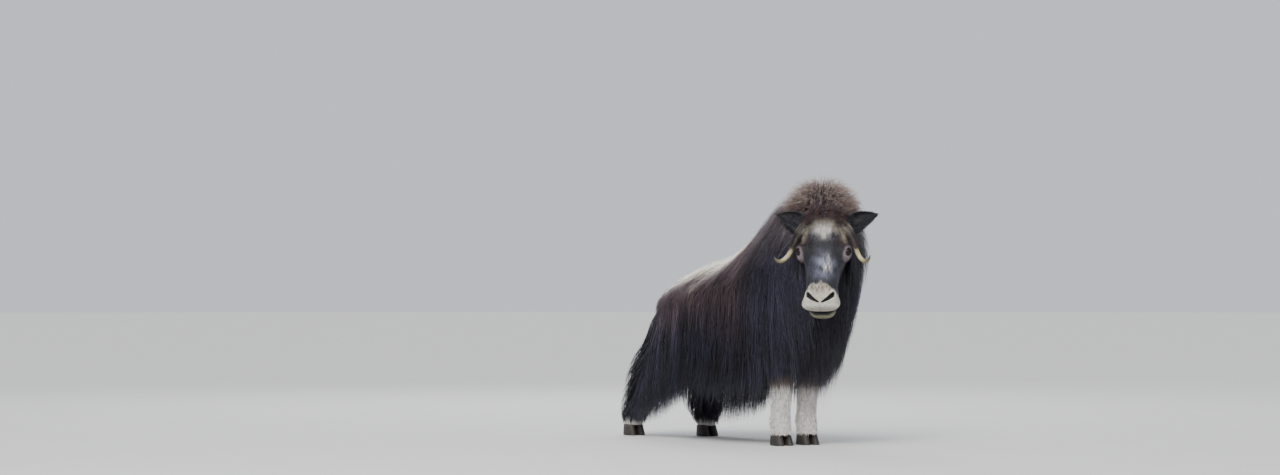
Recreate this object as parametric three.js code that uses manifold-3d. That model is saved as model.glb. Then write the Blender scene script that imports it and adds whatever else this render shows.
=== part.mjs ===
// A life-size muskox: a young cow standing on four feet, its right hind leg stretched back and
// its head turned to its right. Millimetres, +Z up, the head towards -Y, the left side towards +X.
// While it is built, the origin is on the ground halfway between the forefeet.
import * as THREE from "three";
import { mergeVertices } from "three/addons/utils/BufferGeometryUtils.js";
import Module from "manifold-3d";

const wasm = await Module();
wasm.setup();
const { Manifold, Mesh } = wasm;

// Driving dimensions
const GAP = 0.4; // left between nodes that touch
const FORE_STANCE = 69; // half the distance between the forefeet
const HIND_FEET = { left: [120, 905], right: [-130, 1150] }; // where each hind foot stands, x and y
const HEAD_YAW = 42; // degrees that the face is turned to the animal's right
const HEAD_PITCH = 62; // degrees that the line of the face dips below the level
const POLL = point(-30, -297, 985); // top of the head between the ears
const [HIGH_LEVEL, LOW_LEVEL] = [1100, 400]; // the heights at which the cuts across the body are given
const CHEST = [-285, -342]; // front of the neck and of the chest
const NECK_END = [-10, -190]; // where the neck passes into the shoulders
const SHOULDERS_END = [230, 230]; // where the shoulders pass into the barrel
const BARREL_END = [640, 640]; // where the barrel passes into the rump
const TAIL_END = [990, 990];
const FAR = 900; // well past the body on every side
const HOOF_HEIGHT = 52;
const ROOT_DEPTH = 25; // how far a lock's root is sunk
const LOCK_OVERLAP = 1.24; // width of a lock as a share of its spacing
const SWEEP = 0.05; // how far a hanging lock's tip is swept to the rear, as a share of its part of the body
const RAISED = 13; // how far every second lock of a row lies over its neighbours
const RIDGE_LENGTH = 175;
const RIDGE_HALF = 62; // half the width of the locks along the back
const LEG_COAT = 34; // depth of the hair on the hind legs
const BELLY_SPACING = 125;
const LOCK_THICKNESS = 12;
const MOST_CUT = 0.22; // the share of a lock that its neighbours may cut away
const LOCK_EDGE = 7; // how much more room a lock needs at its sharp edges than at its faces

function point(x, y, z) {
  return new THREE.Vector3(x, y, z);
}

const degrees = THREE.MathUtils.degToRad;

// Seeded draws from -1 to 1, the same in every build
let seed = 7;
function draw() {
  seed = (seed * 16807) % 2147483647;
  return (2 * seed) / 2147483647 - 1;
}

const SIDES = [
  ["left", 1],
  ["right", -1],
];

function steps(from, to, count) {
  return Array.from({ length: count + 1 }, (_, i) => from + ((to - from) * i) / count);
}

function turn(count) {
  return Array.from({ length: count }, (_, i) => (i / count) * 2 * Math.PI);
}

// Rounded outline: power 2 is an ellipse, a smaller power is peaked and a larger one is boxy
function rim(angle, power) {
  const bend = (v) => Math.sign(v) * Math.abs(v) ** (2 / power);
  return [bend(Math.cos(angle)), bend(Math.sin(angle))];
}

// A smooth curve through the rows of a table: all its columns at one place along the first column
function along(table, at) {
  const last = table.length - 1;
  const place = THREE.MathUtils.clamp(at, table[0][0], table[last][0]);
  let i = 0;
  while (i < last - 1 && place > table[i + 1][0]) i++;
  const span = table[i + 1][0] - table[i][0];
  const t = (place - table[i][0]) / span;
  const slope = (row, column) => {
    const before = table[Math.max(row - 1, 0)];
    const after = table[Math.min(row + 1, last)];
    return ((after[column] - before[column]) / (after[0] - before[0])) * span;
  };
  return table[i].slice(1).map((value, c) => {
    const startPull = slope(i, c + 1) * (t ** 3 - 2 * t ** 2 + t);
    const endPull = slope(i + 1, c + 1) * (t ** 3 - t ** 2);
    const ease = 3 * t ** 2 - 2 * t ** 3;
    return value * (1 - ease) + table[i + 1][c + 1] * ease + startPull + endPull;
  });
}

// Solids

function solid(corners) {
  const geometry = mergeVertices(new THREE.BufferGeometry().setFromPoints(corners), 1e-3);
  return new Manifold(
    new Mesh({
      numProp: 3,
      vertProperties: new Float32Array(geometry.attributes.position.array),
      triVerts: new Uint32Array(geometry.index.array),
    }),
  );
}

// An end closed by triangles round its middle
function fan(ring) {
  const middle = ring.reduce((sum, p) => sum.add(p), point(0, 0, 0)).divideScalar(ring.length);
  return ring.flatMap((p, k) => [middle, p, ring[(k + 1) % ring.length]]);
}

// An end closed straight across, for a ring that runs out along one side and back along the other
function strip(ring) {
  const last = ring.length - 1;
  return ring.slice(0, ring.length / 2 - 1).flatMap((p, k) => {
    const across = ring[last - k - 1];
    return [p, ring[k + 1], across, p, across, ring[last - k]];
  });
}

// The closed form whose triangles are given by their corners, turned so that they face outwards
function closed(corners) {
  const made = solid(corners);
  return made.volume() < 0 ? solid(corners.reverse()) : made;
}

// The sides of a form through a row of rings with equally many points
function walls(rings) {
  return rings.slice(1).flatMap((ring, i) =>
    ring.flatMap((p, k) => {
      const next = (k + 1) % ring.length;
      return [rings[i][k], rings[i][next], ring[next], rings[i][k], ring[next], p];
    }),
  );
}

function loft(rings, end = fan) {
  return closed([...end(rings[0]).reverse(), ...end(rings[rings.length - 1]), ...walls(rings)]);
}

// An ellipsoid with its own three axes, given as vectors from its centre
function ball(centre, axes, sides, rows) {
  const rings = steps(-1, 1, rows).map((level) => {
    const lift = Math.sin((level * 0.97 * Math.PI) / 2);
    const wide = Math.cos((level * 0.97 * Math.PI) / 2);
    return turn(sides).map((angle) =>
      centre
        .clone()
        .addScaledVector(axes[0], wide * Math.cos(angle))
        .addScaledVector(axes[1], wide * Math.sin(angle))
        .addScaledVector(axes[2], lift),
    );
  });
  return loft(rings);
}

// A round or flattened bar through a list of points, each with a radius across and one outwards
function bar(rows, sides, outward) {
  const centres = rows.map((row) => row[0]);
  const rings = rows.map(([centre, across, out], i) => {
    const next = centres[Math.min(i + 1, rows.length - 1)];
    const ahead = next.clone().sub(centres[Math.max(i - 1, 0)]).normalize();
    const side = ahead.clone().cross(outward).normalize();
    const face = side.clone().cross(ahead);
    return turn(sides).map((angle) =>
      centre
        .clone()
        .addScaledVector(side, across * Math.cos(angle))
        .addScaledVector(face, out * Math.sin(angle)),
    );
  });
  return loft(rings);
}

// A flat lock with a ridge along its outer side, tapering to its tip. Each row has a point on its inner
// side, the way out of the coat, half its width and its thickness; the last row is the tip.
function lock(rows, grow = 0) {
  const spots = rows.map(([spot]) => spot);
  const rings = rows.slice(0, -1).map(([spot, out, half, thick], i) => {
    const ahead = spots[i + 1].clone().sub(spots[Math.max(i - 1, 0)]);
    const across = ahead.clone().cross(out).normalize();
    const face = across.clone().cross(ahead).normalize();
    const inner = spot.clone().addScaledVector(face, -grow);
    return [
      inner.clone().addScaledVector(across, half + LOCK_EDGE * grow),
      inner.clone().addScaledVector(face, thick + 3 * grow),
      inner.clone().addScaledVector(across, -half - LOCK_EDGE * grow),
    ];
  });
  const [root, end] = [rings[0], rings[rings.length - 1]];
  const [before, last] = spots.slice(-2);
  const tip = last.clone().addScaledVector(last.clone().sub(before).normalize(), LOCK_EDGE * grow);
  const sharp = end.flatMap((p, k) => [p, end[(k + 1) % 3], tip]);
  return closed([root[2], root[1], root[0], ...walls(rings), ...sharp]);
}

// Where a cut across the body lies at a height; a cut has its place high up and low down
function cutAt([high, low], z) {
  return low + ((high - low) * (z - LOW_LEVEL)) / (HIGH_LEVEL - LOW_LEVEL);
}

function between([front, back]) {
  const rings = [LOW_LEVEL - FAR, HIGH_LEVEL + FAR].map((z) => {
    const [from, to] = [cutAt(front, z) + GAP / 2, cutAt(back, z) - GAP / 2];
    return [point(-FAR, from, z), point(FAR, from, z), point(FAR, to, z), point(-FAR, to, z)];
  });
  return loft(rings);
}

// The largest closed body, without the scraps that a cut leaves
function largest(body) {
  return body.decompose().reduce((a, b) => (a.volume() > b.volume() ? a : b));
}

const group = new THREE.Group();

function place(name, body, color, roughness = 0.9) {
  const mesh = body.getMesh();
  const geometry = new THREE.BufferGeometry();
  geometry.setAttribute("position", new THREE.BufferAttribute(mesh.vertProperties, 3));
  geometry.setIndex(new THREE.BufferAttribute(mesh.triVerts, 1));
  const node = new THREE.Mesh(geometry, new THREE.MeshStandardMaterial({ color, roughness, metalness: 0 }));
  node.name = name;
  group.add(node);
}

const COLORS = {
  coat: 0x2a2226,
  mane: 0x5d4a3c,
  face: 0x2b2a30,
  stocking: 0xd9d0c0,
  horn: 0xcbbf9f,
  hoof: 0x2c2825,
  eye: 0x120c0a,
};

// Head, in its own directions: down the face, out of the face, and to the animal's left
const YAW = degrees(HEAD_YAW);
const PITCH = degrees(HEAD_PITCH);
const FORWARD = Math.cos(PITCH);
const DOWN_FACE = point(-Math.sin(YAW) * FORWARD, -Math.cos(YAW) * FORWARD, -Math.sin(PITCH));
const FACE_LEFT = point(Math.cos(YAW), -Math.sin(YAW), 0);
const OUT_OF_FACE = new THREE.Vector3().crossVectors(DOWN_FACE, FACE_LEFT);

function turnedWithHead(down, out, left) {
  return point(0, 0, 0)
    .addScaledVector(DOWN_FACE, down)
    .addScaledVector(OUT_OF_FACE, out)
    .addScaledVector(FACE_LEFT, left);
}

function onHead(down, out, left) {
  return turnedWithHead(down, out, left).add(POLL);
}

// Skull with its skin: place down the face, half width, depth to the face and to the throat, squareness
const SKULL = [
  [-35, 60, 42, 60, 2.0],
  [0, 90, 62, 100, 2.0],
  [60, 102, 70, 122, 2.2],
  [120, 100, 66, 128, 2.4],
  [180, 92, 58, 118, 2.4],
  [250, 74, 50, 90, 2.4],
  [320, 66, 46, 64, 2.4],
  [370, 70, 44, 50, 2.5],
  [408, 79, 36, 40, 2.6],
  [430, 70, 20, 30, 2.4],
];
const SKULL_RINGS = [-35, -15, 20, 60, 100, 140, 180, 220, 265, 310, 350, 380, 404, 420, 430];

function skull(grow = 0) {
  const rings = SKULL_RINGS.map((down, i) => {
    const [wide, face, throat, square] = along(SKULL, down);
    const end = i === 0 ? -grow : i === SKULL_RINGS.length - 1 ? grow : 0;
    return turn(18).map((angle) => {
      const [c, s] = rim(angle, square);
      return onHead(down + end, ((s > 0 ? face : throat) + grow) * s, (wide + grow) * c);
    });
  });
  return loft(rings);
}

// Lower jaw: place down the face, half width, depth of its middle, half depth
const JAW = [
  [140, 46, -95, 40],
  [220, 52, -80, 42],
  [300, 50, -68, 36],
  [370, 54, -62, 34],
  [410, 58, -60, 38],
  [428, 50, -60, 34],
  [438, 34, -62, 22],
];
const JAW_RINGS = [140, 200, 260, 320, 370, 400, 424, 438];

function jaw(grow = 0) {
  const rings = JAW_RINGS.map((down, i) => {
    const [wide, middle, deep] = along(JAW, down);
    const end = i === 0 ? -grow : i === JAW_RINGS.length - 1 ? grow : 0;
    return turn(14).map((angle) => {
      const [c, s] = rim(angle, 2.4);
      return onHead(down + end, middle + (deep + grow) * s, (wide + grow) * c);
    });
  });
  return loft(rings);
}

// Eyes: the ball sits deep in a bulging socket, behind two lids that leave an almond open
const EYE = { down: 168, out: 20, left: 97, radius: 19 };
const EYE_LOOK = { down: 0.08, out: 0.5, left: 0.86 }; // the way it looks
const BROW = { down: 164, out: 8, left: 74, long: 52, high: 42, deep: 46 }; // the bulge that the eye sits in

const eyeCentre = (side) => onHead(EYE.down, EYE.out, EYE.left * side);
const eyeLook = (side) => turnedWithHead(EYE_LOOK.down, EYE_LOOK.out, EYE_LOOK.left * side).normalize();

function round(centre, radius, sides, rows) {
  return ball(centre, [point(radius, 0, 0), point(0, radius, 0), point(0, 0, radius)], sides, rows);
}

function brow(side, grow = 0) {
  const axes = [
    turnedWithHead(BROW.long + grow, 0, 0),
    turnedWithHead(0, BROW.high + grow, 0),
    turnedWithHead(0, 0, (BROW.deep + grow) * side),
  ];
  return ball(onHead(BROW.down, BROW.out, BROW.left * side), axes, 12, 6);
}

// The open almond between the lids, as a wedge that widens outwards from the ball
function lidOpening(side) {
  const look = eyeLook(side);
  const corner = turnedWithHead(1, 0, 0).cross(look).normalize();
  const high = new THREE.Vector3().crossVectors(look, corner);
  const rings = [8, 60].map((reach) =>
    turn(10).map((angle) => {
      const [c, s] = rim(angle, 1.7);
      const size = 0.75 * reach + 4;
      return eyeCentre(side)
        .addScaledVector(look, reach)
        .addScaledVector(corner, 0.95 * size * c)
        .addScaledVector(high, 0.8 * size * s);
    }),
  );
  return loft(rings);
}

// Nostrils: two slanted commas at the front of the muzzle
function nostril(side) {
  const rows = [
    [onHead(378, 52, 38 * side), 9, 7],
    [onHead(396, 44, 26 * side), 11, 9],
    [onHead(412, 34, 15 * side), 7, 7],
    [onHead(420, 28, 10 * side), 3, 4],
  ];
  return bar(rows, 6, OUT_OF_FACE);
}

// Horns: from the side of the forehead down past the eye, then hooked out and up
const HORN = [
  [0, 40, 40, 62, 24, 9],
  [1, 68, 42, 94, 21, 10],
  [2, 105, 30, 119, 15, 10],
  [3, 150, 18, 137, 11, 10],
  [4, 192, 22, 155, 9.5, 9.5],
  [5, 222, 36, 178, 8.5, 8.5],
  [6, 224, 50, 197, 6, 6],
  [7, 206, 58, 207, 1.5, 1.5],
];

function horn(side, grow = 0) {
  const rows = steps(0, 7, 10).map((t) => {
    const [down, out, left, across, thick] = along(HORN, t);
    return [onHead(down, out, left * side), across + grow, thick + grow];
  });
  return bar(rows, 8, OUT_OF_FACE);
}

// Ears: pointed leaves held out sideways, with the cup to the front
const EAR = [
  [0, 16, 16],
  [25, 30, 22],
  [60, 35, 20],
  [95, 24, 12],
  [125, 5, 4],
];
const EAR_LONG = EAR[EAR.length - 1][0];
const EAR_THICK = 5;
const EAR_WRAP = 105; // degrees from the middle of the back of the ear to its front edges
const EAR_EDGE = 4; // degrees more where room is made for it

function ear(side, grow = 0) {
  const root = onHead(4, -12, 88 * side);
  const tip = onHead(-34, -14, 219 * side);
  const out = tip.clone().sub(root).normalize();
  const high = new THREE.Vector3().crossVectors(out, OUT_OF_FACE).normalize();
  const back = new THREE.Vector3().crossVectors(high, out).normalize();
  const inward = back.dot(OUT_OF_FACE) > 0 ? -1 : 1;
  const span = tip.distanceTo(root);
  const edge = grow > 0 ? [EAR_WRAP + EAR_EDGE] : [];
  const arc = [...edge.map((a) => -a), ...steps(-EAR_WRAP, EAR_WRAP, 5), ...edge].map(degrees);
  const rings = steps(0, 1, 6).map((t) => {
    const [tall, cup] = along(EAR, t * EAR_LONG);
    const reach = span * t + (t === 0 ? -grow : t === 1 ? grow : 0);
    const shell = (size, angle) =>
      root
        .clone()
        .addScaledVector(out, reach)
        .addScaledVector(high, (tall + size) * Math.sin(angle))
        .addScaledVector(back, inward * (cup + size) * Math.cos(angle));
    const thick = EAR_THICK * (1 - 0.6 * t);
    return [...arc.map((a) => shell(grow, a)), ...arc.map((a) => shell(-thick - grow, a)).reverse()];
  });
  return loft(rings, strip);
}

// Trunk and neck with their dense undercoat
// y, middle x, middle z, half width, up to the back, down to the belly, how peaked the back is
const TRUNK = [
  [-310, 0, 860, 75, 80, 150, 2.0],
  [-240, 12, 850, 130, 170, 230, 2.0],
  [-140, 8, 820, 180, 230, 290, 1.8],
  [0, 0, 765, 205, 280, 330, 1.4],
  [120, 0, 725, 225, 240, 300, 1.3],
  [300, 0, 680, 240, 150, 270, 1.5],
  [500, 0, 645, 240, 125, 240, 1.9],
  [650, 0, 625, 215, 115, 225, 1.8],
  [800, 0, 600, 170, 95, 200, 2.0],
  [900, 0, 580, 125, 75, 150, 2.0],
  [960, 0, 565, 65, 50, 80, 2.0],
];
const TRUNK_RINGS = [-310, -270, -200, -120, 0, 120, 230, 360, 520, 660, 790, 890, 960];

// The outside of the coat, where the tips of its locks lie
// y, middle x, height of the widest place, half width, up to the back, height of the hem, how much
// narrower the hem is, how peaked the back is
const COAT = [
  [-345, 5, 780, 80, 100, 520, 0.6, 2.0],
  [-300, 20, 790, 150, 180, 400, 0.8, 2.0],
  [-220, 55, 800, 215, 290, 280, 0.8, 2.0],
  [-120, 30, 780, 255, 365, 220, 0.36, 1.5],
  [0, 0, 740, 278, 400, 200, 0.12, 1.2],
  [120, 0, 700, 282, 370, 165, 0.1, 1.1],
  [300, 0, 670, 290, 222, 150, 0.08, 1.35],
  [500, 0, 645, 280, 180, 140, 0.04, 1.9],
  [650, 0, 625, 255, 165, 140, 0, 1.7],
  [800, 0, 605, 212, 148, 150, -0.12, 1.6],
  [900, 0, 590, 162, 122, 170, -0.3, 1.8],
  [975, 0, 575, 100, 80, 220, -0.4, 2.0],
  [1000, 0, 560, 50, 40, 330, -0.4, 2.0],
];

// Places on the undercoat and on the outside of the coat, by how far down the side they are: 1 is the
// ridge of the back, 0 the widest place and -1 the middle of the belly or the hem
function onTrunk(y, side, down) {
  const [x, z, wide, up, belly, peak] = along(TRUNK, y);
  const [c, s] = rim((down * Math.PI) / 2, down > 0 ? peak : 2);
  return point(x + side * wide * c, y, z + (down > 0 ? up : belly) * s);
}

function onCoat(y, side, down) {
  const [x, z, wide, up, hem, narrow, peak] = along(COAT, y);
  const [c, s] = rim((down * Math.PI) / 2, peak);
  if (down > 0) return point(x + side * wide * c, y, z + up * s);
  return point(x + side * wide * (1 + narrow * down), y, z + (z - hem) * down);
}

// A place in the coat of one length of the body, whose ends are cuts that may slant: share is 0 at its
// front and 1 at its back, and depth is 0 on the undercoat and 1 outside
function inCoat(length, side, share, down, depth) {
  const spot = point(0, 0, (HIGH_LEVEL + LOW_LEVEL) / 2);
  for (let round = 0; round < 3; round++) {
    const [front, back] = length.map((cut) => cutAt(cut, spot.z));
    const y = front + (back - front) * share;
    spot.copy(onTrunk(y, side, down).lerp(onCoat(y, side, down), depth));
  }
  return spot;
}

function trunk() {
  return loft(
    TRUNK_RINGS.map((y) => {
      const [x, z, wide, up, belly, peak] = along(TRUNK, y);
      return turn(14).map((angle) => {
        const [c, s] = rim(angle, angle < Math.PI ? peak : 2);
        return point(x + wide * c, y, z + (s > 0 ? up : belly) * s);
      });
    }),
  );
}

// Where along a lock its rings lie, and the half width and thickness there, as shares of the greatest
const SHORT = { at: [0, 0.36, 0.74, 1], half: [0.55, 1, 0.75, 0], thick: [1, 1, 0.7, 0] };
const LONG = { at: [0, 0.28, 0.6, 0.86, 1], half: [0.55, 1, 0.95, 0.65, 0], thick: [1, 1, 0.9, 0.6, 0] };

// Tiers of locks down each side: the places of the roots and of the tips
const TIERS = [
  { root: 0.93, tip: 0.14 },
  { root: 0.44, tip: -0.44 },
  { root: -0.08, tip: -1 },
];

// A lock of the side coat: spread is half its share of the length of the body, and every second lock of a
// row is raised over its neighbours
function hangingLock(length, side, share, spread, { root, tip }, raised) {
  return LONG.at.map((t, i) => {
    const down = root + (tip - root) * t;
    const depth = 1 - (1 - t) ** 1.9;
    const at = (shift, ahead = 0) => inCoat(length, side, share + shift + SWEEP * t, down - ahead, depth);
    const rearward = at(spread).sub(at(-spread));
    const out = at(0, 0.05).sub(at(0)).cross(rearward).multiplyScalar(side).normalize();
    const thick = LOCK_THICKNESS * LONG.thick[i];
    const stand = raised - (i === 0 ? ROOT_DEPTH : thick * 0.7);
    const half = 0.5 * rearward.length() * LOCK_OVERLAP * LONG.half[i];
    return [at(0).addScaledVector(out, stand), out, half, thick];
  });
}

function hangingLocks(length, count) {
  return TIERS.flatMap(({ root, tip }, tier) => {
    const columns = count + (tier % 2);
    const spread = 0.5 / columns;
    return SIDES.flatMap(([, side]) =>
      steps(spread, 1 - spread, columns - 1).map((share, k) => {
        const reach = { root: root + 0.03 * draw(), tip: Math.max(tip + 0.07 * draw(), -1.03) };
        const shifted = share + 0.15 * spread * draw();
        return hangingLock(length, side, shifted, spread, reach, k % 2 ? RAISED : 0);
      }),
    );
  });
}

// Along the ridge of the back the locks lie rearwards
function ridgeLocks(length, count) {
  const [front, back] = length.map((cut) => cutAt(cut, HIGH_LEVEL));
  return steps(front + 10, back - RIDGE_LENGTH - 4, count - 1).map((start, k) =>
    SHORT.at.map((t, i) => {
      const y = start + RIDGE_LENGTH * t;
      const spot = onTrunk(y, 1, 1).lerp(onCoat(y, 1, 1), 0.35 + 0.57 * t);
      const thick = LOCK_THICKNESS * SHORT.thick[i];
      spot.z -= i === 0 ? ROOT_DEPTH + 10 : thick;
      return [spot, point(0, 0, 1), RIDGE_HALF * SHORT.half[i], thick];
    }),
  );
}

// A lock that hangs from a place inside the body: first outwards, then down to its tip
function freeLock(root, shoulder, tip, half, out) {
  const path = new THREE.QuadraticBezierCurve3(root, shoulder, tip);
  return SHORT.at.map((t, i) => {
    return [path.getPoint(t), out, half * SHORT.half[i], LOCK_THICKNESS * SHORT.thick[i]];
  });
}

// Under the belly, in rows across
function bellyLocks(rows) {
  return rows.flatMap((y) =>
    [-1, 0, 1].map((way) => {
      const x = BELLY_SPACING * way;
      const hem = along(COAT, y)[4];
      const root = onTrunk(y, 1, -1).setX(x).add(point(0, 0, 80));
      const tip = point(x * 1.1, y + 24, hem + 55 + 18 * draw());
      return freeLock(root, point(x, y + 6, (root.z + tip.z) / 2), tip, 66, point(0, -1, 0));
    }),
  );
}

// Legs: x, y, z of the middle, and the radii across and along the body
function leg(rows, sides, rings, grow = 0) {
  return loft(
    steps(0, rows.length - 1, rings).map((t, i) => {
      const end = i === 0 ? grow : i === rings ? -grow : 0;
      return turn(sides).map((angle) => onLeg(rows, t, angle, grow).add(point(0, 0, end)));
    }),
  );
}

function onLeg(rows, t, angle, away) {
  const [x, y, z, across, fore] = along(rows.map((row, i) => [i, ...row]), t);
  return point(x + (across + away) * Math.cos(angle), y + (fore + away) * Math.sin(angle), z);
}

const ANKLE = HOOF_HEIGHT + GAP;

function foreleg(side, grow = 0) {
  const x = FORE_STANCE * side;
  const rows = [
    [x * 1.5, 25, 560, 60, 80],
    [x * 1.35, 20, 450, 62, 74],
    [x * 1.15, 2, 350, 50, 56],
    [x * 1.03, -6, 275, 47, 50],
    [x, -3, 225, 42, 43],
    [x, 4, 150, 39, 39],
    [x, 8, 105, 43, 45],
    [x, 2, 75, 40, 44],
    [x, -4, ANKLE, 42, 46],
  ];
  return leg(rows, 10, 9, grow);
}

// The hind leg bends at the hock when it stands under the body and is nearly straight when stretched back
function hindlegRows(word) {
  const [x, y] = HIND_FEET[word];
  const reach = y - 905;
  return [
    [x * 0.85, 790, 610, 56, 90],
    [x * 0.94, 830 + reach * 0.12, 480, 66, 98],
    [x * 1.0, 895 + reach * 0.2, 380, 54, 66],
    [x * 1.03, 945 + reach * 0.28, 305, 44, 52],
    [x, 940 + reach * 0.48, 235, 40, 43],
    [x, 920 + reach * 0.76, 140, 39, 40],
    [x, 912 + reach * 0.9, 100, 41, 43],
    [x, 904 + reach, ANKLE, 42, 46],
  ];
}

// Tiers of locks round a hind leg: where each starts down the leg, and how far down it ends
const LEG_TIERS = {
  left: [[1.6, 3.8], [3.2, 5.4]],
  right: [[1.0, 3.1], [2.2, 4.4], [3.4, 5.5], [4.6, 6.5]],
};
const LEG_COLUMNS = 5;

function legLocks(word) {
  const rows = hindlegRows(word);
  return LEG_TIERS[word].flatMap(([from, to], tier) =>
    turn(LEG_COLUMNS).map((middle, k) => {
      const angle = middle + (0.5 * (tier % 2) * 2 * Math.PI) / LEG_COLUMNS + 0.08 * draw();
      const end = to + 0.25 * draw();
      const out = point(Math.cos(angle), Math.sin(angle), 0);
      return SHORT.at.map((t, i) => {
        const away = i === 0 ? -ROOT_DEPTH * 0.7 : LEG_COAT * (1 - (1 - t) ** 2) - 10 + (k % 2 ? RAISED : 0);
        const place = from + (end - from) * t;
        const spot = onLeg(rows, place, angle, away);
        const half = spot.distanceTo(onLeg(rows, place, angle + Math.PI / LEG_COLUMNS, away));
        return [spot, out, half * 1.1 * SHORT.half[i], LOCK_THICKNESS * SHORT.thick[i]];
      });
    }),
  );
}

function hindleg(word, locks, grow = 0) {
  return Manifold.union([leg(hindlegRows(word), 10, 8, grow), ...locks.map((rows) => lock(rows, grow))]);
}

// Tail: a short stump in a brush of locks that hangs behind the rump
const TAIL = [
  [point(0, 935, 640), 26, 16],
  [point(0, 985, 610), 28, 18],
  [point(0, 1010, 560), 26, 17],
  [point(0, 1018, 510), 20, 14],
  [point(0, 1018, 470), 8, 6],
];

function tailLocks() {
  return [-28, 0, 28].map((x, k) =>
    freeLock(
      point(x * 0.3, 1004, 575 - 10 * (k % 2)),
      point(x, 1022 + 8 * (k % 2), 520),
      point(x * 1.3, 1034, 385 + 16 * draw()),
      24,
      point(0, 1, 0),
    ),
  );
}

function tail(locks, grow = 0) {
  const rows = TAIL.map(([centre, across, thick]) => [centre, across + grow, thick + grow]);
  return Manifold.union([bar(rows, 10, point(0, 1, 0)), ...locks.map((row) => lock(row, grow))]);
}

// Hooves: two claws a foot, each flat below, straight on its inner side and round on its outer side
function claw(x, y, side) {
  const rings = steps(0, 1, 2).map((t) =>
    turn(10).map((angle) => {
      const [c, s] = rim(angle, 2.3);
      const half = c * side < 0 ? 20.5 : 24 - 4 * t;
      const narrow = s < 0 ? 1 + 0.25 * s ** 3 : 1;
      return point(x + side * 23 + half * c * narrow, y - 8 + 10 * t + (46 - 12 * t) * s, HOOF_HEIGHT * t);
    }),
  );
  return loft(rings);
}

// The dome of upright wool behind the head: pointed clumps that stand out from a low core
const DOME = { middle: point(38, -160, 1000), wide: 190, deep: 115, tall: 193 };
const DOME_CORE = 0.5; // size of the core beside that of the whole dome
const DOME_ROWS = [[80, 4], [56, 7], [31, 9], [7, 10]]; // degrees above the level, and how many clumps

function onDome(lift, angle, share) {
  const back = FACE_LEFT.clone().cross(point(0, 0, 1));
  return DOME.middle
    .clone()
    .addScaledVector(FACE_LEFT, DOME.wide * share * Math.cos(lift) * Math.cos(angle))
    .addScaledVector(back, DOME.deep * share * Math.cos(lift) * Math.sin(angle))
    .add(point(0, 0, DOME.tall * share * Math.sin(lift)));
}

function domeCore() {
  return loft(steps(-1.2, 1.5, 4).map((lift) => turn(10).map((angle) => onDome(lift, angle, DOME_CORE))));
}

// Each clump stands out of the core and curls over downwards; a row here holds how many degrees lower it
// has come, its distance from the middle, as a share of the dome's, and its width and thickness
const CURL = [
  [0, 0.42, 0.36, 0.5],
  [2, 0.76, 0.85, 1.2],
  [12, 0.93, 0.85, 0.9],
  [28, 1, 0, 0],
];

function domeClumps() {
  return DOME_ROWS.flatMap(([high, count], row) =>
    turn(count).map((middle, k) => {
      const start = high + 2.5 * draw();
      const angle = middle + (row % 2) * (Math.PI / count) + 0.06 * draw();
      const next = onDome(degrees(high), angle + (2 * Math.PI) / count, 1);
      const wide = 0.54 * onDome(degrees(high), angle, 1).distanceTo(next);
      return CURL.map(([lower, share, half, thick]) => {
        const lift = degrees(start - lower);
        const spot = onDome(lift, angle, share);
        const out = onDome(lift, angle, 1.2).sub(onDome(lift, angle, 0.4)).normalize();
        spot.addScaledVector(out, k % 2 ? 0 : -RAISED);
        return [spot, out, THREE.MathUtils.clamp(wide, 26, 40) * half, LOCK_THICKNESS * thick];
      });
    }),
  );
}

// The bib in front of the chest: y of each row, heights of the roots and the tips, distance apart and
// how many
const BIB = [
  [-308, 760, 560, 56, 3],
  [-300, 680, 425, 58, 3],
  [-240, 610, 312, 60, 3],
  [-165, 560, 245, 76, 3],
  [-92, 520, 215, 72, 5],
];

function bibLocks() {
  return BIB.flatMap(([y, root, tip, apart, count]) =>
    steps(-0.5, 0.5, count - 1).map((way, k) => {
      const x = along(COAT, y)[0] * 0.5 + apart * (count - 1) * way;
      const low = tip + 14 * draw() + 30 * Math.abs(way);
      const front = y - 34 - (k % 2 ? RAISED : 0);
      return freeLock(
        point(x * 0.8, y + 60, root),
        point(x, front, root - 20),
        point(x * 0.95, front + 10, low),
        apart * 0.64,
        point(0, -1, 0),
      );
    }),
  );
}

// Behind the rump, on both sides of the tail
function rearLocks() {
  return [-68, 68].flatMap((x) =>
    [[610, 400], [520, 260]].map(([root, tip], row) =>
      freeLock(
        point(x * 0.8, 905, root),
        point(x * 1.05, 1000 - 8 * row, root - 10),
        point(x * 1.15, 1006 - 10 * row, tip + 14 * draw()),
        42,
        point(0, 1, 0),
      ),
    ),
  );
}

// The pale tuft on the forehead, between the horns
function forelock() {
  return [-44, -15, 15, 44, -28, 0, 28].map((x, k) => {
    const from = k < 4 ? 22 : -18;
    const high = k < 4 ? 0 : 6;
    return [
      [onHead(from, 44, x * 0.9), OUT_OF_FACE, 17, 10],
      [onHead(from + 18, 64 + high, x), OUT_OF_FACE, 19, 11],
      [onHead(from + 46, 71 + high, x * 1.05), OUT_OF_FACE, 14, 8],
      [onHead(from + 76 + 6 * draw(), 70 + high, x * 1.1 + 5 * draw()), OUT_OF_FACE, 0, 0],
    ];
  });
}

const hindLocks = { left: legLocks("left"), right: legLocks("right") };
const brush = tailLocks();
const limbs = SIDES.flatMap(([word, side]) => [foreleg(side, GAP), hindleg(word, hindLocks[word], GAP)]);
const hornRoom = SIDES.map(([, side]) => horn(side, GAP));
const earRoom = SIDES.map(([, side]) => ear(side, GAP));

// Head with forelock, brows, lids and nostrils
const tuft = forelock();
const openings = SIDES.flatMap(([, side]) => [
  round(eyeCentre(side), EYE.radius + GAP * 2, 10, 7),
  lidOpening(side),
  nostril(side),
]);

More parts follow.
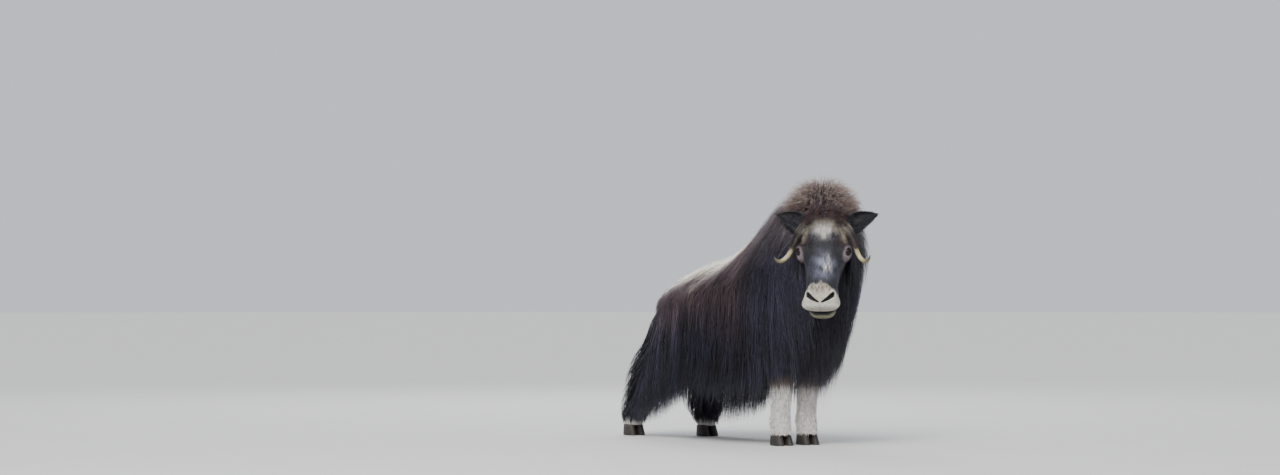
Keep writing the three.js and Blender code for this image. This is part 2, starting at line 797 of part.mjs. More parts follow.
function headForm(grow) {
  return Manifold.union([
    skull(grow),
    brow(1, grow),
    brow(-1, grow),
    ...tuft.map((rows) => lock(rows, grow)),
  ]);
}

const headRoom = headForm(GAP);
const headCuts = Manifold.union([...openings, ...hornRoom, ...earRoom]);
place("head", largest(headForm(0).subtract(headCuts)), COLORS.face);
place("lower_jaw", largest(jaw().subtract(headRoom)), COLORS.face);

for (const [word, side] of SIDES) {
  place("eye_" + word, round(eyeCentre(side), EYE.radius, 10, 7), COLORS.eye, 0.1);
  place("horn_" + word, horn(side), COLORS.horn, 0.5);
  place("ear_" + word, largest(ear(side).subtract(horn(side, GAP))), COLORS.face);
  place("foreleg_" + word, foreleg(side), COLORS.stocking);
  place("hindleg_" + word, largest(hindleg(word, hindLocks[word])), COLORS.coat);
  for (const [inner, way] of [["inner", -side], ["outer", side]]) {
    place(`hoof_fore_${word}_${inner}`, claw(FORE_STANCE * side, 0, way), COLORS.hoof, 0.5);
    place(`hoof_hind_${word}_${inner}`, claw(...HIND_FEET[word], way), COLORS.hoof, 0.5);
  }
}
place("tail", largest(tail(brush)), COLORS.coat);

// Neck, shoulders, barrel and rump: lengths of one undercoat, each with its own locks
const room = Manifold.union([headRoom, jaw(GAP), ...hornRoom, ...earRoom, ...limbs, tail(brush, GAP)]);

// A lock that would lie for the most part in a leg or the head is left out
function bodyPart(name, cuts, core, locks, color) {
  const clear = locks
    .map((rows) => lock(rows))
    .filter((body) => body.intersect(room).volume() < MOST_CUT * body.volume());
  const form = Manifold.union([core, ...clear]);
  place(name, largest(form.subtract(room).intersect(between(cuts))), color);
}

const neckLocks = [...hangingLocks([CHEST, NECK_END], 4), ...bibLocks(), ...domeClumps()];
const beforeChest = CHEST.map((y) => y - FAR);
bodyPart("neck", [beforeChest, NECK_END], Manifold.union([trunk(), domeCore()]), neckLocks, COLORS.mane);

function ridgedLocks(length, columns, ridges, bellyRows) {
  return [...hangingLocks(length, columns), ...ridgeLocks(length, ridges), ...bellyLocks(bellyRows)];
}

const shouldersLength = [NECK_END, SHOULDERS_END];
bodyPart("shoulders", shouldersLength, trunk(), ridgedLocks(shouldersLength, 5, 3, [150]), COLORS.coat);
const barrelLength = [SHOULDERS_END, BARREL_END];
bodyPart("barrel", barrelLength, trunk(), ridgedLocks(barrelLength, 5, 4, [300, 435, 570]), COLORS.coat);
const rumpLocks = [...ridgedLocks([BARREL_END, TAIL_END], 4, 3, [700]), ...rearLocks()];
const behindTail = TAIL_END.map((y) => y + FAR);
bodyPart("rump", [BARREL_END, behindTail], trunk(), rumpLocks, COLORS.coat);

// The origin moves to the middle of the ground under the whole animal
const box = new THREE.Box3().setFromObject(group, true);
group.position.set(-(box.min.x + box.max.x) / 2, -(box.min.y + box.max.y) / 2, -box.min.z);
group.updateMatrixWorld(true);

export default group;
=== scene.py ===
# %% [markdown]
# # A young muskox, life size
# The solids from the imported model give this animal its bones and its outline. This lesson dresses them: a
# skin over the flesh, a coat of many thousand tufts that hang and curl as real wool does, wet eyes, ribbed
# horns and worn hooves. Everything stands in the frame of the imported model, so that comes first.

# %% The frame
import math

import bmesh
import bpy
import numpy as np
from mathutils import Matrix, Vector
from mathutils.bvhtree import BVHTree
from mathutils.kdtree import KDTree


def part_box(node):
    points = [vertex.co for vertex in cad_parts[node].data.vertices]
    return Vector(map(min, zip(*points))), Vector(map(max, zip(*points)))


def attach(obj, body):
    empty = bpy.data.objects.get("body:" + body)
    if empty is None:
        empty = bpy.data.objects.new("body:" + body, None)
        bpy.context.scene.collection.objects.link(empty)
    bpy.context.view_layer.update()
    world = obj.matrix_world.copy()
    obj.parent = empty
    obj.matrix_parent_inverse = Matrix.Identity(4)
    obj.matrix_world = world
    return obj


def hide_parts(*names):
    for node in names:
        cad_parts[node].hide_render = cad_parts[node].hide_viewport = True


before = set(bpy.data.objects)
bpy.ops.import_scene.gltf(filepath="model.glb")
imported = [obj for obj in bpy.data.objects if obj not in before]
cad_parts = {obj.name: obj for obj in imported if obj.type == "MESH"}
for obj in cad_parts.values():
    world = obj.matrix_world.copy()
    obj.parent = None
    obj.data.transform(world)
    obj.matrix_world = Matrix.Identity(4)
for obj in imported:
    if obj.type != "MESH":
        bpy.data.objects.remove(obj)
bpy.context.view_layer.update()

# %% [markdown]
# ## The body's own numbers
# The solids were drawn in millimetres from the ground between the forefeet, with tables of a few rows that
# a smooth curve runs through. The same tables and the same curve are used here, so that skin and coat land
# exactly where the solids are, with nothing fitted by eye.

# %% Smooth tables and rounded outlines
def along(table, at):
    """All the columns of a table at places along its first column."""
    table = np.asarray(table, float)
    knots, values = table[:, 0], table[:, 1:]
    at = np.clip(np.asarray(at, float), knots[0], knots[-1])
    i = np.clip(np.searchsorted(knots, at) - 1, 0, len(knots) - 2)
    before = np.vstack([table[:1], table[:-1]])
    after = np.vstack([table[1:], table[-1:]])
    slope = (after - before)[:, 1:] / (after - before)[:, :1]
    span = (knots[i + 1] - knots[i])[..., None]
    t = (at[..., None] - knots[i][..., None]) / span
    pull = span * (slope[i] * (t**3 - 2 * t**2 + t) + slope[i + 1] * (t**3 - t**2))
    ease = 3 * t**2 - 2 * t**3
    return values[i] * (1 - ease) + values[i + 1] * ease + pull


def rim(angle, power):
    """A rounded outline: power 2 is an ellipse, less is peaked, more is boxy."""
    c, s = np.cos(angle), np.sin(angle)
    return np.sign(c) * np.abs(c) ** (2 / power), np.sign(s) * np.abs(s) ** (2 / power)


def points(x, y, z):
    return np.stack(np.broadcast_arrays(x, y, z), -1).astype(float)


def unit(v):
    return v / np.maximum(np.linalg.norm(v, axis=-1, keepdims=True), 1e-9)


def step(low, high, x):
    """0 below low, 1 above high, smooth between; low may be the larger one."""
    t = np.clip((x - low) / (high - low), 0, 1)
    return t * t * (3 - 2 * t)


# %% Directions of the head
YAW, PITCH = math.radians(42), math.radians(62)
POLL = np.array([-30.0, -297.0, 985.0])
DOWN_FACE = np.array([-math.sin(YAW) * math.cos(PITCH), -math.cos(YAW) * math.cos(PITCH), -math.sin(PITCH)])
FACE_LEFT = np.array([math.cos(YAW), -math.sin(YAW), 0.0])
OUT_OF_FACE = np.cross(DOWN_FACE, FACE_LEFT)


def turned(down, out, left):
    down, out, left = np.broadcast_arrays(down, out, left)
    return down[..., None] * DOWN_FACE + out[..., None] * OUT_OF_FACE + left[..., None] * FACE_LEFT


def on_head(down, out, left):
    return POLL + turned(down, out, left)


def head_places(p):
    """Down the face, out of the face and to the left, for points anywhere."""
    v = p - POLL
    return v @ DOWN_FACE, v @ OUT_OF_FACE, v @ FACE_LEFT


EYE_DOWN, EYE_OUT, EYE_LEFT, EYE_RADIUS = 168, 20, 97, 19
low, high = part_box("eye_left")
SHIFT = np.array((low + high) / 2) - on_head(EYE_DOWN, EYE_OUT, EYE_LEFT) / 1000
print("drawing to frame, metres:", SHIFT.round(4))


def to_frame(p):
    return np.asarray(p) / 1000 + SHIFT


def from_frame(p):
    return (np.asarray(p) - SHIFT) * 1000


# %% [markdown]
# ## Camera
# The photographer stood low, a little to the animal's right, far enough away for a long lens. The camera is
# put there first, because every judgement of the coat is made through it. It aims so that the ground
# between the forefeet falls where it does in the picture.

# %% Camera
IMAGE_WIDTH, IMAGE_HEIGHT, SENSOR_WIDTH = 1280, 475, 36
CAMERA_TURN, CAMERA_LIFT, CAMERA_FAR, PIXELS_PER_METRE = -34.0, 0.5, 14.0, 227.0
FOREFEET_PIXEL = (794.0, 445.0)
CHEST_HEIGHT, AIM_STEPS = 0.6, 20


def aimed_camera():
    a, e = math.radians(CAMERA_TURN), math.radians(CAMERA_LIFT)
    back = np.array([math.sin(a) * math.cos(e), -math.cos(a) * math.cos(e), math.sin(e)])
    aim = np.array([0, 0, CHEST_HEIGHT])
    spot = aim + back * CAMERA_FAR
    focal = PIXELS_PER_METRE * CAMERA_FAR
    for _ in range(AIM_STEPS):
        ahead = unit(aim - spot)
        right = unit(np.cross(ahead, [0, 0, 1]))
        up = np.cross(right, ahead)
        far = -spot @ ahead
        x = IMAGE_WIDTH / 2 + focal * (-spot @ right) / far
        y = IMAGE_HEIGHT / 2 - focal * (-spot @ up) / far
        aim = aim + (right * (x - FOREFEET_PIXEL[0]) - up * (y - FOREFEET_PIXEL[1])) / PIXELS_PER_METRE
    return spot, ahead, focal


spot, ahead, focal = aimed_camera()
lens = bpy.data.cameras.new("camera")
lens.sensor_width = SENSOR_WIDTH
lens.lens = focal / IMAGE_WIDTH * SENSOR_WIDTH
lens.clip_end = 200
camera = bpy.data.objects.new("camera", lens)
bpy.context.scene.collection.objects.link(camera)
camera.location = Vector(spot + SHIFT)
camera.rotation_mode = "QUATERNION"
camera.rotation_quaternion = Vector(ahead).to_track_quat("-Z", "Y")
bpy.context.scene.camera = camera
print("camera at", camera.location[:], "lens", round(lens.lens, 1))

# %% [markdown]
# ## Forms
# Flesh is a set of lofts: rings of points set one after another, like the ribs of a boat, and skinned over.
# The trunk, legs, tail, skull, jaw and ears are such lofts, with far more rings than the solids have.

# %% Lofts and meshes
def loft(rings):
    """Points, four-sided faces and end triangles of a closed form through rings (rows, round, 3)."""
    rings = np.asarray(rings, float)
    rows, around = rings.shape[:2]
    ends = np.array([rings[0].mean(0), rings[-1].mean(0)])
    i, k = np.meshgrid(np.arange(rows - 1), np.arange(around), indexing="ij")
    n = (k + 1) % around
    quads = np.stack([i * around + k, i * around + n, (i + 1) * around + n, (i + 1) * around + k], -1)
    quads = quads.reshape(-1, 4)
    k = np.arange(around)
    n = (k + 1) % around
    first, last = rows * around, rows * around + 1
    base = (rows - 1) * around
    tris = np.vstack([np.stack([n, k, np.full(around, first)], -1),
                      np.stack([base + k, base + n, np.full(around, last)], -1)])
    corners = np.vstack([rings.reshape(-1, 3), ends])
    middle = corners.mean(0)
    a, b, c = (corners[quads[:, j]] - middle for j in (0, 1, 2))
    if np.einsum("ij,ij->i", a, np.cross(b - a, c - a)).sum() < 0:
        quads, tris = quads[:, ::-1], tris[:, ::-1]
    return corners, quads, tris


def joined(forms):
    corners, quads, tris, start = [], [], [], 0
    for p, q, t in forms:
        corners.append(p)
        quads.append(q + start)
        tris.append(t + start)
        start += len(p)
    return np.vstack(corners), np.vstack(quads), np.vstack(tris)


def new_object(name, form):
    """A mesh object in the frame, from points in millimetres."""
    corners, quads, tris = form
    mesh = bpy.data.meshes.new(name)
    mesh.vertices.add(len(corners))
    mesh.vertices.foreach_set("co", to_frame(corners).astype(np.float32).ravel())
    mesh.loops.add(quads.size + tris.size)
    mesh.loops.foreach_set("vertex_index", np.concatenate([quads.ravel(), tris.ravel()]).astype(np.int32))
    mesh.polygons.add(len(quads) + len(tris))
    starts = np.concatenate([np.arange(len(quads)) * 4, quads.size + np.arange(len(tris)) * 3])
    mesh.polygons.foreach_set("loop_start", starts.astype(np.int32))
    mesh.update(calc_edges=True)
    mesh.shade_smooth()
    made = bpy.data.objects.new(name, mesh)
    bpy.context.scene.collection.objects.link(made)
    return made


def applied(made, kind, **settings):
    """The object with one modifier worked into its mesh."""
    modifier = made.modifiers.new(kind.lower(), kind)
    for key, value in settings.items():
        setattr(modifier, key, value)
    depsgraph = bpy.context.evaluated_depsgraph_get()
    mesh = bpy.data.meshes.new_from_object(made.evaluated_get(depsgraph))
    made.modifiers.clear()
    old, made.data = made.data, mesh
    bpy.data.meshes.remove(old)
    return made


def round_steps(count):
    return np.arange(count) / count * 2 * np.pi


def read(items, key, width=1, kind=np.float32):
    """One value of many mesh elements, a row for each."""
    values = np.zeros(len(items) * width, kind)
    items.foreach_get(key, values)
    return values.reshape(-1, width) if width > 1 else values


def write(made, name, kind, key, values):
    """A named value at every point of an object."""
    layer = made.data.attributes.new(name, kind, "POINT")
    layer.data.foreach_set(key, np.asarray(values).astype(np.float32).ravel())


def places_of(made):
    return from_frame(read(made.data.vertices, "co", 3))


# %% [markdown]
# ## Trunk
# A muskox's trunk is deep at the shoulder and falls away to a low rump. The skin lies where the dense
# undercoat ends, and the long outer coat lies over it, so two tables are needed: one for the undercoat and
# one for the outside of the coat.

# %% Trunk and coat tables
# y, middle x, middle z, half width, up to the back, down to the belly, how peaked the back is
TRUNK = [
    [-310, 0, 860, 75, 80, 150, 2.0], [-240, 12, 850, 130, 170, 230, 2.0], [-140, 8, 820, 180, 230, 290, 1.8],
    [0, 0, 765, 205, 280, 330, 1.4], [120, 0, 725, 225, 240, 300, 1.3], [300, 0, 680, 240, 150, 270, 1.5],
    [500, 0, 645, 240, 125, 240, 1.9], [650, 0, 625, 215, 115, 225, 1.8], [800, 0, 600, 170, 95, 200, 2.0],
    [900, 0, 580, 125, 75, 150, 2.0], [960, 0, 565, 65, 50, 80, 2.0],
]
# y, middle x, height of the widest place, half width, up to the back, height of the hem, how much narrower
# the hem is, how peaked the back is
COAT = [
    [-345, 5, 780, 80, 100, 520, 0.6, 2.0], [-300, 20, 790, 150, 180, 400, 0.8, 2.0],
    [-220, 55, 800, 215, 290, 280, 0.8, 2.0], [-120, 30, 780, 255, 365, 220, 0.62, 1.5],
    [0, 0, 740, 278, 400, 178, 0.32, 1.2], [120, 0, 700, 282, 370, 142, 0.2, 1.1],
    [300, 0, 670, 290, 222, 138, 0.1, 1.35], [500, 0, 645, 280, 180, 140, 0.04, 1.9],
    [650, 0, 625, 255, 165, 140, 0, 1.7], [800, 0, 605, 212, 148, 150, -0.12, 1.6],
    [900, 0, 590, 162, 122, 170, -0.3, 1.8], [975, 0, 575, 100, 80, 220, -0.4, 2.0],
    [1000, 0, 560, 50, 40, 330, -0.4, 2.0],
]
LOWER_ON_THE_RIGHT = 58


def on_trunk(y, side, down):
    """A place on the undercoat: down is 1 on the back, 0 at the widest place and -1 under the belly."""
    x, z, wide, up, belly, peak = np.moveaxis(along(TRUNK, y), -1, 0)
    c, s = rim(down * np.pi / 2, np.where(down > 0, peak, 2.0))
    return points(x + side * wide * c, y, z + np.where(down > 0, up, belly) * s)


def on_coat(y, side, down):
    """A place on the outside of the coat: below the widest place it hangs straight down to the hem."""
    x, z, wide, up, hem, narrow, peak = np.moveaxis(along(COAT, y), -1, 0)
    hem = hem - np.where(side < 0, LOWER_ON_THE_RIGHT * np.exp(-(((y + 20) / 120) ** 2)), 0)
    c, s = rim(np.maximum(down, 0) * np.pi / 2, peak)
    upper = points(x + side * wide * c, y, z + up * s)
    lower = points(x + side * wide * (1 + narrow * down), y, z + (z - hem) * down)
    return np.where((down > 0)[..., None], upper, lower)


def in_coat(y, side, down, depth):
    y, side, down, depth = np.broadcast_arrays(y, side, down, depth)
    inner, outer = on_trunk(y, side, down), on_coat(y, side, down)
    return inner + (outer - inner) * depth[..., None]


def trunk_form():
    ring_places = np.concatenate([[-318], np.linspace(-308, 955, 90), [962]])
    angle = round_steps(72)
    x, z, wide, up, belly, peak = (v[:, None] for v in along(TRUNK, ring_places).T)
    end = np.ones(len(ring_places))
    end[[0, -1]] = 0.55
    c, s = rim(angle[None], np.where(angle[None] < np.pi, peak, 2.0))
    return loft(points(x + end[:, None] * wide * c, ring_places[:, None],
                       z + end[:, None] * np.where(s > 0, up, belly) * s))


# %% Legs and tail
FORE_STANCE = 69
HIND_FEET = {"left": (120, 905), "right": (-130, 1150)}
SIDES = {"left": 1, "right": -1}
ANKLE = 48


def foreleg_rows(word):
    x = FORE_STANCE * SIDES[word]
    return [[x * 1.5, 25, 560, 60, 80], [x * 1.35, 20, 450, 62, 74], [x * 1.15, 2, 350, 50, 56],
            [x * 1.03, -6, 275, 47, 50], [x, -3, 225, 42, 43], [x, 4, 150, 39, 39], [x, 8, 105, 43, 45],
            [x, 2, 75, 40, 44], [x, -4, ANKLE, 42, 46]]


def hindleg_rows(word):
    x, y = HIND_FEET[word]
    reach = y - HIND_FEET["left"][1]
    return [[x * 0.85, 790, 610, 56, 90], [x * 0.94, 830 + reach * 0.12, 480, 66, 98],
            [x, 895 + reach * 0.2, 380, 54, 66], [x * 1.03, 945 + reach * 0.28, 305, 44, 52],
            [x, 940 + reach * 0.48, 235, 40, 43], [x, 920 + reach * 0.76, 140, 39, 40],
            [x, 912 + reach * 0.9, 100, 41, 43], [x, 904 + reach, ANKLE, 42, 46]]


def on_leg(rows, t, angle, away):
    """A place round a leg: t counts its rows from the top."""
    table = [[i, *row] for i, row in enumerate(rows)]
    x, y, z, across, fore = np.moveaxis(along(table, t), -1, 0)
    return points(x + (across + away) * np.cos(angle), y + (fore + away) * np.sin(angle), z)


def leg_form(rows):
    t = np.linspace(0, len(rows) - 1, 60)
    return loft(on_leg(rows, t[:, None], round_steps(32)[None], 0))


TAIL = [[0, 935, 640, 26, 16], [1, 985, 610, 28, 18], [2, 1010, 560, 26, 17], [3, 1018, 510, 20, 14],
        [4, 1018, 470, 8, 6]]


def tail_form():
    y, z, across, thick = (v[:, None] for v in along(TAIL, np.linspace(0, 4, 30)).T)
    angle = round_steps(20)[None]
    return loft(points(across * np.cos(angle), y + thick * np.sin(angle), z + thick * 0.5 * np.sin(angle)))


DOME_MIDDLE = np.array([38.0, -160.0, 1000.0])
DOME_WIDE, DOME_DEEP, DOME_TALL = 190, 115, 193
DOME_BACK = np.cross(FACE_LEFT, [0, 0, 1])


def on_dome(lift, angle, share):
    flat = np.cos(lift) * share
    return (DOME_MIDDLE + (DOME_WIDE * flat * np.cos(angle))[..., None] * FACE_LEFT
            + (DOME_DEEP * flat * np.sin(angle))[..., None] * DOME_BACK
            + (DOME_TALL * share * np.sin(lift))[..., None] * np.array([0, 0, 1.0]))


def dome_form():
    lift = np.linspace(-1.3, 1.5, 30)[:, None]
    return loft(on_dome(lift, round_steps(40)[None], np.full(lift.shape, 0.46)))


body_forms = [trunk_form(), tail_form(), dome_form()]
body_forms += [leg_form(rows(word)) for rows in (foreleg_rows, hindleg_rows) for word in SIDES]
print("body lofts", len(body_forms), "with", sum(len(f[0]) for f in body_forms), "points")

# %% [markdown]
# ## Head
# A muskox's face is long and flat, with eyes that bulge from the sides on bony rims, a broad square muzzle
# and ears that stand out sideways as cupped leaves. The skull, jaw, rims and ears are lofts again.

# %% Skull, jaw, eye rims and ears
# down the face, half width, depth to the face and to the throat, squareness
SKULL = [
    [-35, 60, 42, 60, 2.0], [0, 90, 62, 100, 2.0], [60, 102, 70, 122, 2.2], [120, 100, 66, 128, 2.4],
    [180, 92, 58, 118, 2.4], [250, 74, 50, 90, 2.4], [320, 66, 46, 64, 2.4], [370, 70, 44, 50, 2.5],
    [408, 79, 36, 40, 2.6], [430, 70, 20, 30, 2.4],
]
# down the face, half width, place of its middle, half depth
JAW = [
    [140, 46, -95, 40], [220, 52, -80, 42], [300, 50, -68, 36], [370, 54, -62, 34], [410, 58, -60, 38],
    [428, 50, -60, 34], [438, 34, -62, 22],
]
EAR = [[0, 16, 16], [25, 30, 22], [60, 35, 20], [95, 24, 12], [125, 5, 4]]
EAR_THICK, EAR_WRAP = 5, math.radians(105)


def skull_form():
    down = np.concatenate([np.linspace(-35, 425, 110), [428, 431]])
    wide, face, throat, square = (v[:, None] for v in along(SKULL, down).T)
    end = np.ones(len(down))
    end[[0, -2, -1]] = (0.8, 0.93, 0.72)
    end = end[:, None]
    c, s = rim(round_steps(96)[None], square)
    return loft(on_head(down[:, None], end * np.where(s > 0, face, throat) * s, end * wide * c))


def jaw_form():
    down = np.linspace(140, 438, 70)
    wide, middle, deep = (v[:, None] for v in along(JAW, down).T)
    c, s = rim(round_steps(64)[None], 2.4)
    return loft(on_head(down[:, None], middle + deep * s, wide * c))


def eye_rim_form(side):
    lift = np.linspace(-0.49, 0.49, 32)[:, None] * np.pi
    angle = round_steps(48)[None]
    return loft(on_head(164 + 52 * np.cos(lift) * np.cos(angle), 8 + 42 * np.cos(lift) * np.sin(angle),
                        side * (74 + 46 * np.sin(lift) + 0 * angle)))


def ear_frame(side):
    root, tip = on_head(4, -12, 88 * side), on_head(-34, -14, 219 * side)
    out = unit(tip - root)
    high = unit(np.cross(out, OUT_OF_FACE))
    back = unit(np.cross(high, out))
    inward = -1 if back @ OUT_OF_FACE > 0 else 1
    return root, out, high, back * inward, np.linalg.norm(tip - root)


def on_ear(side, t, angle, away):
    """A place on an ear: t from root to tip, angle from the middle of its back."""
    root, out, high, back, span = ear_frame(side)
    tall, cup = np.moveaxis(along(EAR, np.asarray(t) * 125), -1, 0)
    return (root + (span * t)[..., None] * out + ((tall + away) * np.sin(angle))[..., None] * high
            + ((cup + away) * np.cos(angle))[..., None] * back)


def ear_form(side):
    t = np.linspace(0, 1, 40)[:, None]
    arc = np.linspace(-EAR_WRAP, EAR_WRAP, 40)[None]
    outer = on_ear(side, t + 0 * arc, arc + 0 * t, 0 * t * arc)
    inner = on_ear(side, t + 0 * arc, arc + 0 * t, -EAR_THICK * (1 - 0.6 * t) + 0 * arc)
    return loft(np.concatenate([outer, inner[:, ::-1]], 1))


head_forms = [skull_form(), jaw_form()] + [f(s) for s in SIDES.values() for f in (eye_rim_form, ear_form)]
print("head lofts", len(head_forms), "with", sum(len(f[0]) for f in head_forms), "points")

# %% [markdown]
# ## One skin
# Lofts that only pass through one another show a crease where they meet. A voxel remesh casts them as one
# surface, coarse on the body, which the coat hides, and fine on the head. The two are then joined by a
# Boolean, so that the animal has one skin from nose to tail.

# %% One skin
BODY_VOXEL, HEAD_VOXEL = 8, 2.3


def cast(name, forms, voxel, smoothing):
    made = new_object(name, joined(forms))
    applied(made, "REMESH", mode="VOXEL", voxel_size=voxel / 1000)
    return applied(made, "SMOOTH", iterations=smoothing, factor=0.5)


hide = cast("hide", body_forms, BODY_VOXEL, 5)
head_skin = cast("head_skin", head_forms, HEAD_VOXEL, 4)
print("body", len(hide.data.polygons), "head", len(head_skin.data.polygons), "faces")
applied(hide, "BOOLEAN", operation="UNION", object=head_skin, solver="MANIFOLD")
bpy.data.objects.remove(head_skin)
hide.data.shade_smooth()
print("hide", len(hide.data.vertices), "points")

# %% [markdown]
# ## Nostrils, lips and mouth
# These are carved after the casting, while the head's skin is fine: each point near a nostril or the line
# of the mouth moves along its own normal, inwards for the openings and outwards for the swollen edges round
# them.

# %% Carving the muzzle
# down the face, out of it, to the side, half width
NOSTRIL = np.array([[375, 33, 56, 6.5], [387, 37, 51, 10], [401, 37, 36, 7.8], [411, 35, 20, 5.2],
                    [417, 32, 8, 3.6]], float)
NOSTRIL_DEEP, MOUTH_DEEP, MOUTH_HALF, LIP_SWELL, LIP_MIDDLE = 13, 7, 3.2, 3.6, 10


def from_nostril(down, out, left):
    """How far from the middle line of the nearer nostril, as a share of its half width there."""
    p = np.stack([down, out, np.abs(left)], -1)
    best = np.full(len(p), np.inf)
    for a, b in zip(NOSTRIL[:-1], NOSTRIL[1:]):
        way = b[:3] - a[:3]
        t = np.clip((p - a[:3]) @ way / (way @ way), 0, 1)
        reach = np.linalg.norm(p - a[:3] - t[:, None] * way, axis=1)
        best = np.minimum(best, reach / (a[3] + (b[3] - a[3]) * t))
    return best


def from_mouth(down, out, left):
    """How far above the line between the lips, in millimetres."""
    wide, _, throat, square = along(SKULL, down).T
    lip = -throat * (1 - np.clip(np.abs(left) / wide, 0, 0.98) ** square) ** (1 / square)
    return out - np.where(np.abs(left) < wide, lip, 0)


p, n = places_of(hide), read(hide.data.vertices, "normal", 3)
write(hide, "uncarved", "FLOAT_VECTOR", "vector", p)
down, out, left = head_places(p)
near = np.where((down > 250) & (down < 450) & (np.abs(left) < 110) & (np.abs(out) < 130))[0]
d, o, l = down[near], out[near], left[near]
hole, above = from_nostril(d, o, l), from_mouth(d, o, l)
wing = 2.0 + 2.6 * step(36, 56, np.abs(l))
carve = -NOSTRIL_DEEP * (1 - step(0.35, 1.05, hole)) + wing * np.exp(-(((hole - 1.5) / 0.42) ** 2))
carve += step(300, 345, d) * (-MOUTH_DEEP * np.exp(-((above / MOUTH_HALF) ** 2))
                              + LIP_SWELL * np.exp(-(((above - LIP_MIDDLE) / 6) ** 2))
                              + LIP_SWELL / 2 * np.exp(-(((above + 9) / 6) ** 2)))
carve += -1.6 * np.exp(-((l / 2.2) ** 2)) * step(395, 415, d) * step(-36, -20, o) * step(34, 20, o)
p[near] += n[near] * carve[:, None]
hide.data.vertices.foreach_set("co", to_frame(p).astype(np.float32).ravel())
hide.data.update()
print("carved", len(near), "points of the muzzle")

# %% [markdown]
# ## Eyelids
# An eyelid is a thick fold that lies on the ball and ends in a wet edge. The skin is cut away over each
# eye, and a ring is lofted from inside that opening, over the edge, up the fold and back down into the
# skin.

# %% Eyelids
LID_LONG, LID_WIDE, ALMOND, EYE_BULGE = 14.5, 12.0, 1.85, 2.5
# size, height over the ball and how far it follows the skin, for each ring of the fold
LID_FOLD = [
    (0.86, -4, 0), (0.97, 0.2, 0), (1.0, 1.6, 0), (1.07, 2.8, 0), (1.2, 3.6, 0.1), (1.4, 3.4, 0.45),
    (1.65, 2.0, 0.8), (1.9, 1.6, 1), (2.15, 0.5, 1), (2.4, -2.5, 1),
]


def eye_axes(side):
    look = unit(turned(0.36, 0.7, 0.6 * side))
    across = unit(np.cross(DOWN_FACE, look)) * side
    centre = on_head(EYE_DOWN, EYE_OUT, EYE_LEFT * side) + look * EYE_BULGE
    return centre, look, across, unit(np.cross(look, across)) * side


def almond(angle):
    c, s = rim(angle, ALMOND)
    return LID_LONG * c, LID_WIDE * s


uncut_skin = BVHTree.FromPolygons([v.co for v in hide.data.vertices],
                                  [list(f.vertices) for f in hide.data.polygons])


def on_skin(start, way):
    hit = uncut_skin.ray_cast(Vector(to_frame(start)), Vector(way))[0]
    return None if hit is None else from_frame(hit)


def lid_rings(side):
    centre, look, across, along_face = eye_axes(side)
    rings = []
    for grow, stand, skin_share in LID_FOLD:
        for angle in round_steps(56):
            long, wide = (v * grow for v in almond(angle))
            flat = centre + along_face * long + across * wide
            reach = math.sqrt(max(EYE_RADIUS**2 - (long**2 + wide**2) * min(1, 1 / grow**2), 4))
            ball = flat + look * (reach + stand)
            hit = on_skin(flat + look * 70, -look) if skin_share else None
            raised = ball if hit is None else hit + look * stand * 0.5
            rings.append(ball * (1 - skin_share) + raised * skin_share)
    return np.array(rings).reshape(len(LID_FOLD), -1, 3)


def sheet_of(rings):
    """The faces of an open sleeve, without end caps."""
    corners, quads, tris = loft(rings)
    return corners[:-2], quads, tris[:0]


lids = new_object("lids", joined([sheet_of(lid_rings(side)) for side in SIDES.values()]))

shape = bmesh.new()
shape.from_mesh(hide.data)
shape.faces.ensure_lookup_table()
centres = from_frame([f.calc_center_median()[:] for f in shape.faces])
cut = np.zeros(len(centres), bool)
for side in SIDES.values():
    centre, look, across, along_face = eye_axes(side)
    v = centres - centre
    over = (np.abs(v @ along_face) / LID_LONG) ** ALMOND + (np.abs(v @ across) / LID_WIDE) ** ALMOND
    cut |= (over < 1.4**ALMOND) & (v @ look > -5) & (v @ look < 60)
bmesh.ops.delete(shape, geom=[shape.faces[i] for i in np.where(cut)[0]], context="FACES")
shape.to_mesh(hide.data)
shape.free()
with bpy.context.temp_override(active_object=hide, selected_editable_objects=[hide, lids]):
    bpy.ops.object.join()
hide.data.shade_smooth()
print("opened", int(cut.sum()), "faces over the eyes; hide now", len(hide.data.polygons), "faces")

# %% [markdown]
# ## Markings
# Skin and tufts take their colour from one rule of place, so they always agree: black-brown coat, warmer on
# the flank, greyer on the neck, a cream saddle, white stockings, a slate face with a pale forehead and
# muzzle, and a painted highlight down the bridge, pale blue-grey like the sky's sheen on flat fur.

# %% Markings
def tint(red, green, blue):
    """A colour as seen on a screen, turned into light."""
    v = np.array([red, green, blue], float) / 255
    return np.where(v < 0.04045, v / 12.92, ((v + 0.055) / 1.055) ** 2.4)


BLACK, VIOLET, FLANK, GREY_NECK = tint(23, 21, 28), tint(39, 37, 55), tint(86, 68, 70), tint(116, 104, 108)
CREAM, DOME_BROWN, STOCKING = tint(252, 246, 234), tint(74, 54, 50), tint(236, 232, 226)
SLATE, BRIDGE, FOREHEAD, TAN = tint(25, 25, 34), tint(124, 129, 152), tint(248, 244, 238), tint(160, 150, 132)
BROW_DARK, RUST, PAD, CHEEK = tint(20, 19, 24), tint(84, 58, 50), tint(124, 113, 102), tint(98, 92, 110)
MUZZLE, CHIN, EYE_RING = tint(190, 183, 168), tint(136, 130, 102), tint(136, 122, 126)
NOSTRIL_BLACK, EAR_BLACK, KNEE = tint(9, 9, 11), tint(15, 15, 19), tint(140, 116, 98)
FULL_TURN = 6.28
patterns = np.random.default_rng(5)
MOTTLE_WAYS, MOTTLE_STARTS = patterns.normal(0, 3, (9, 3)), patterns.uniform(0, FULL_TURN, 9)


def mottle(p, size):
    """A smooth random value, mostly within -1 and 1, that changes over this many millimetres."""
    return np.sin(p @ (MOTTLE_WAYS / size).T + MOTTLE_STARTS).sum(-1) / 3


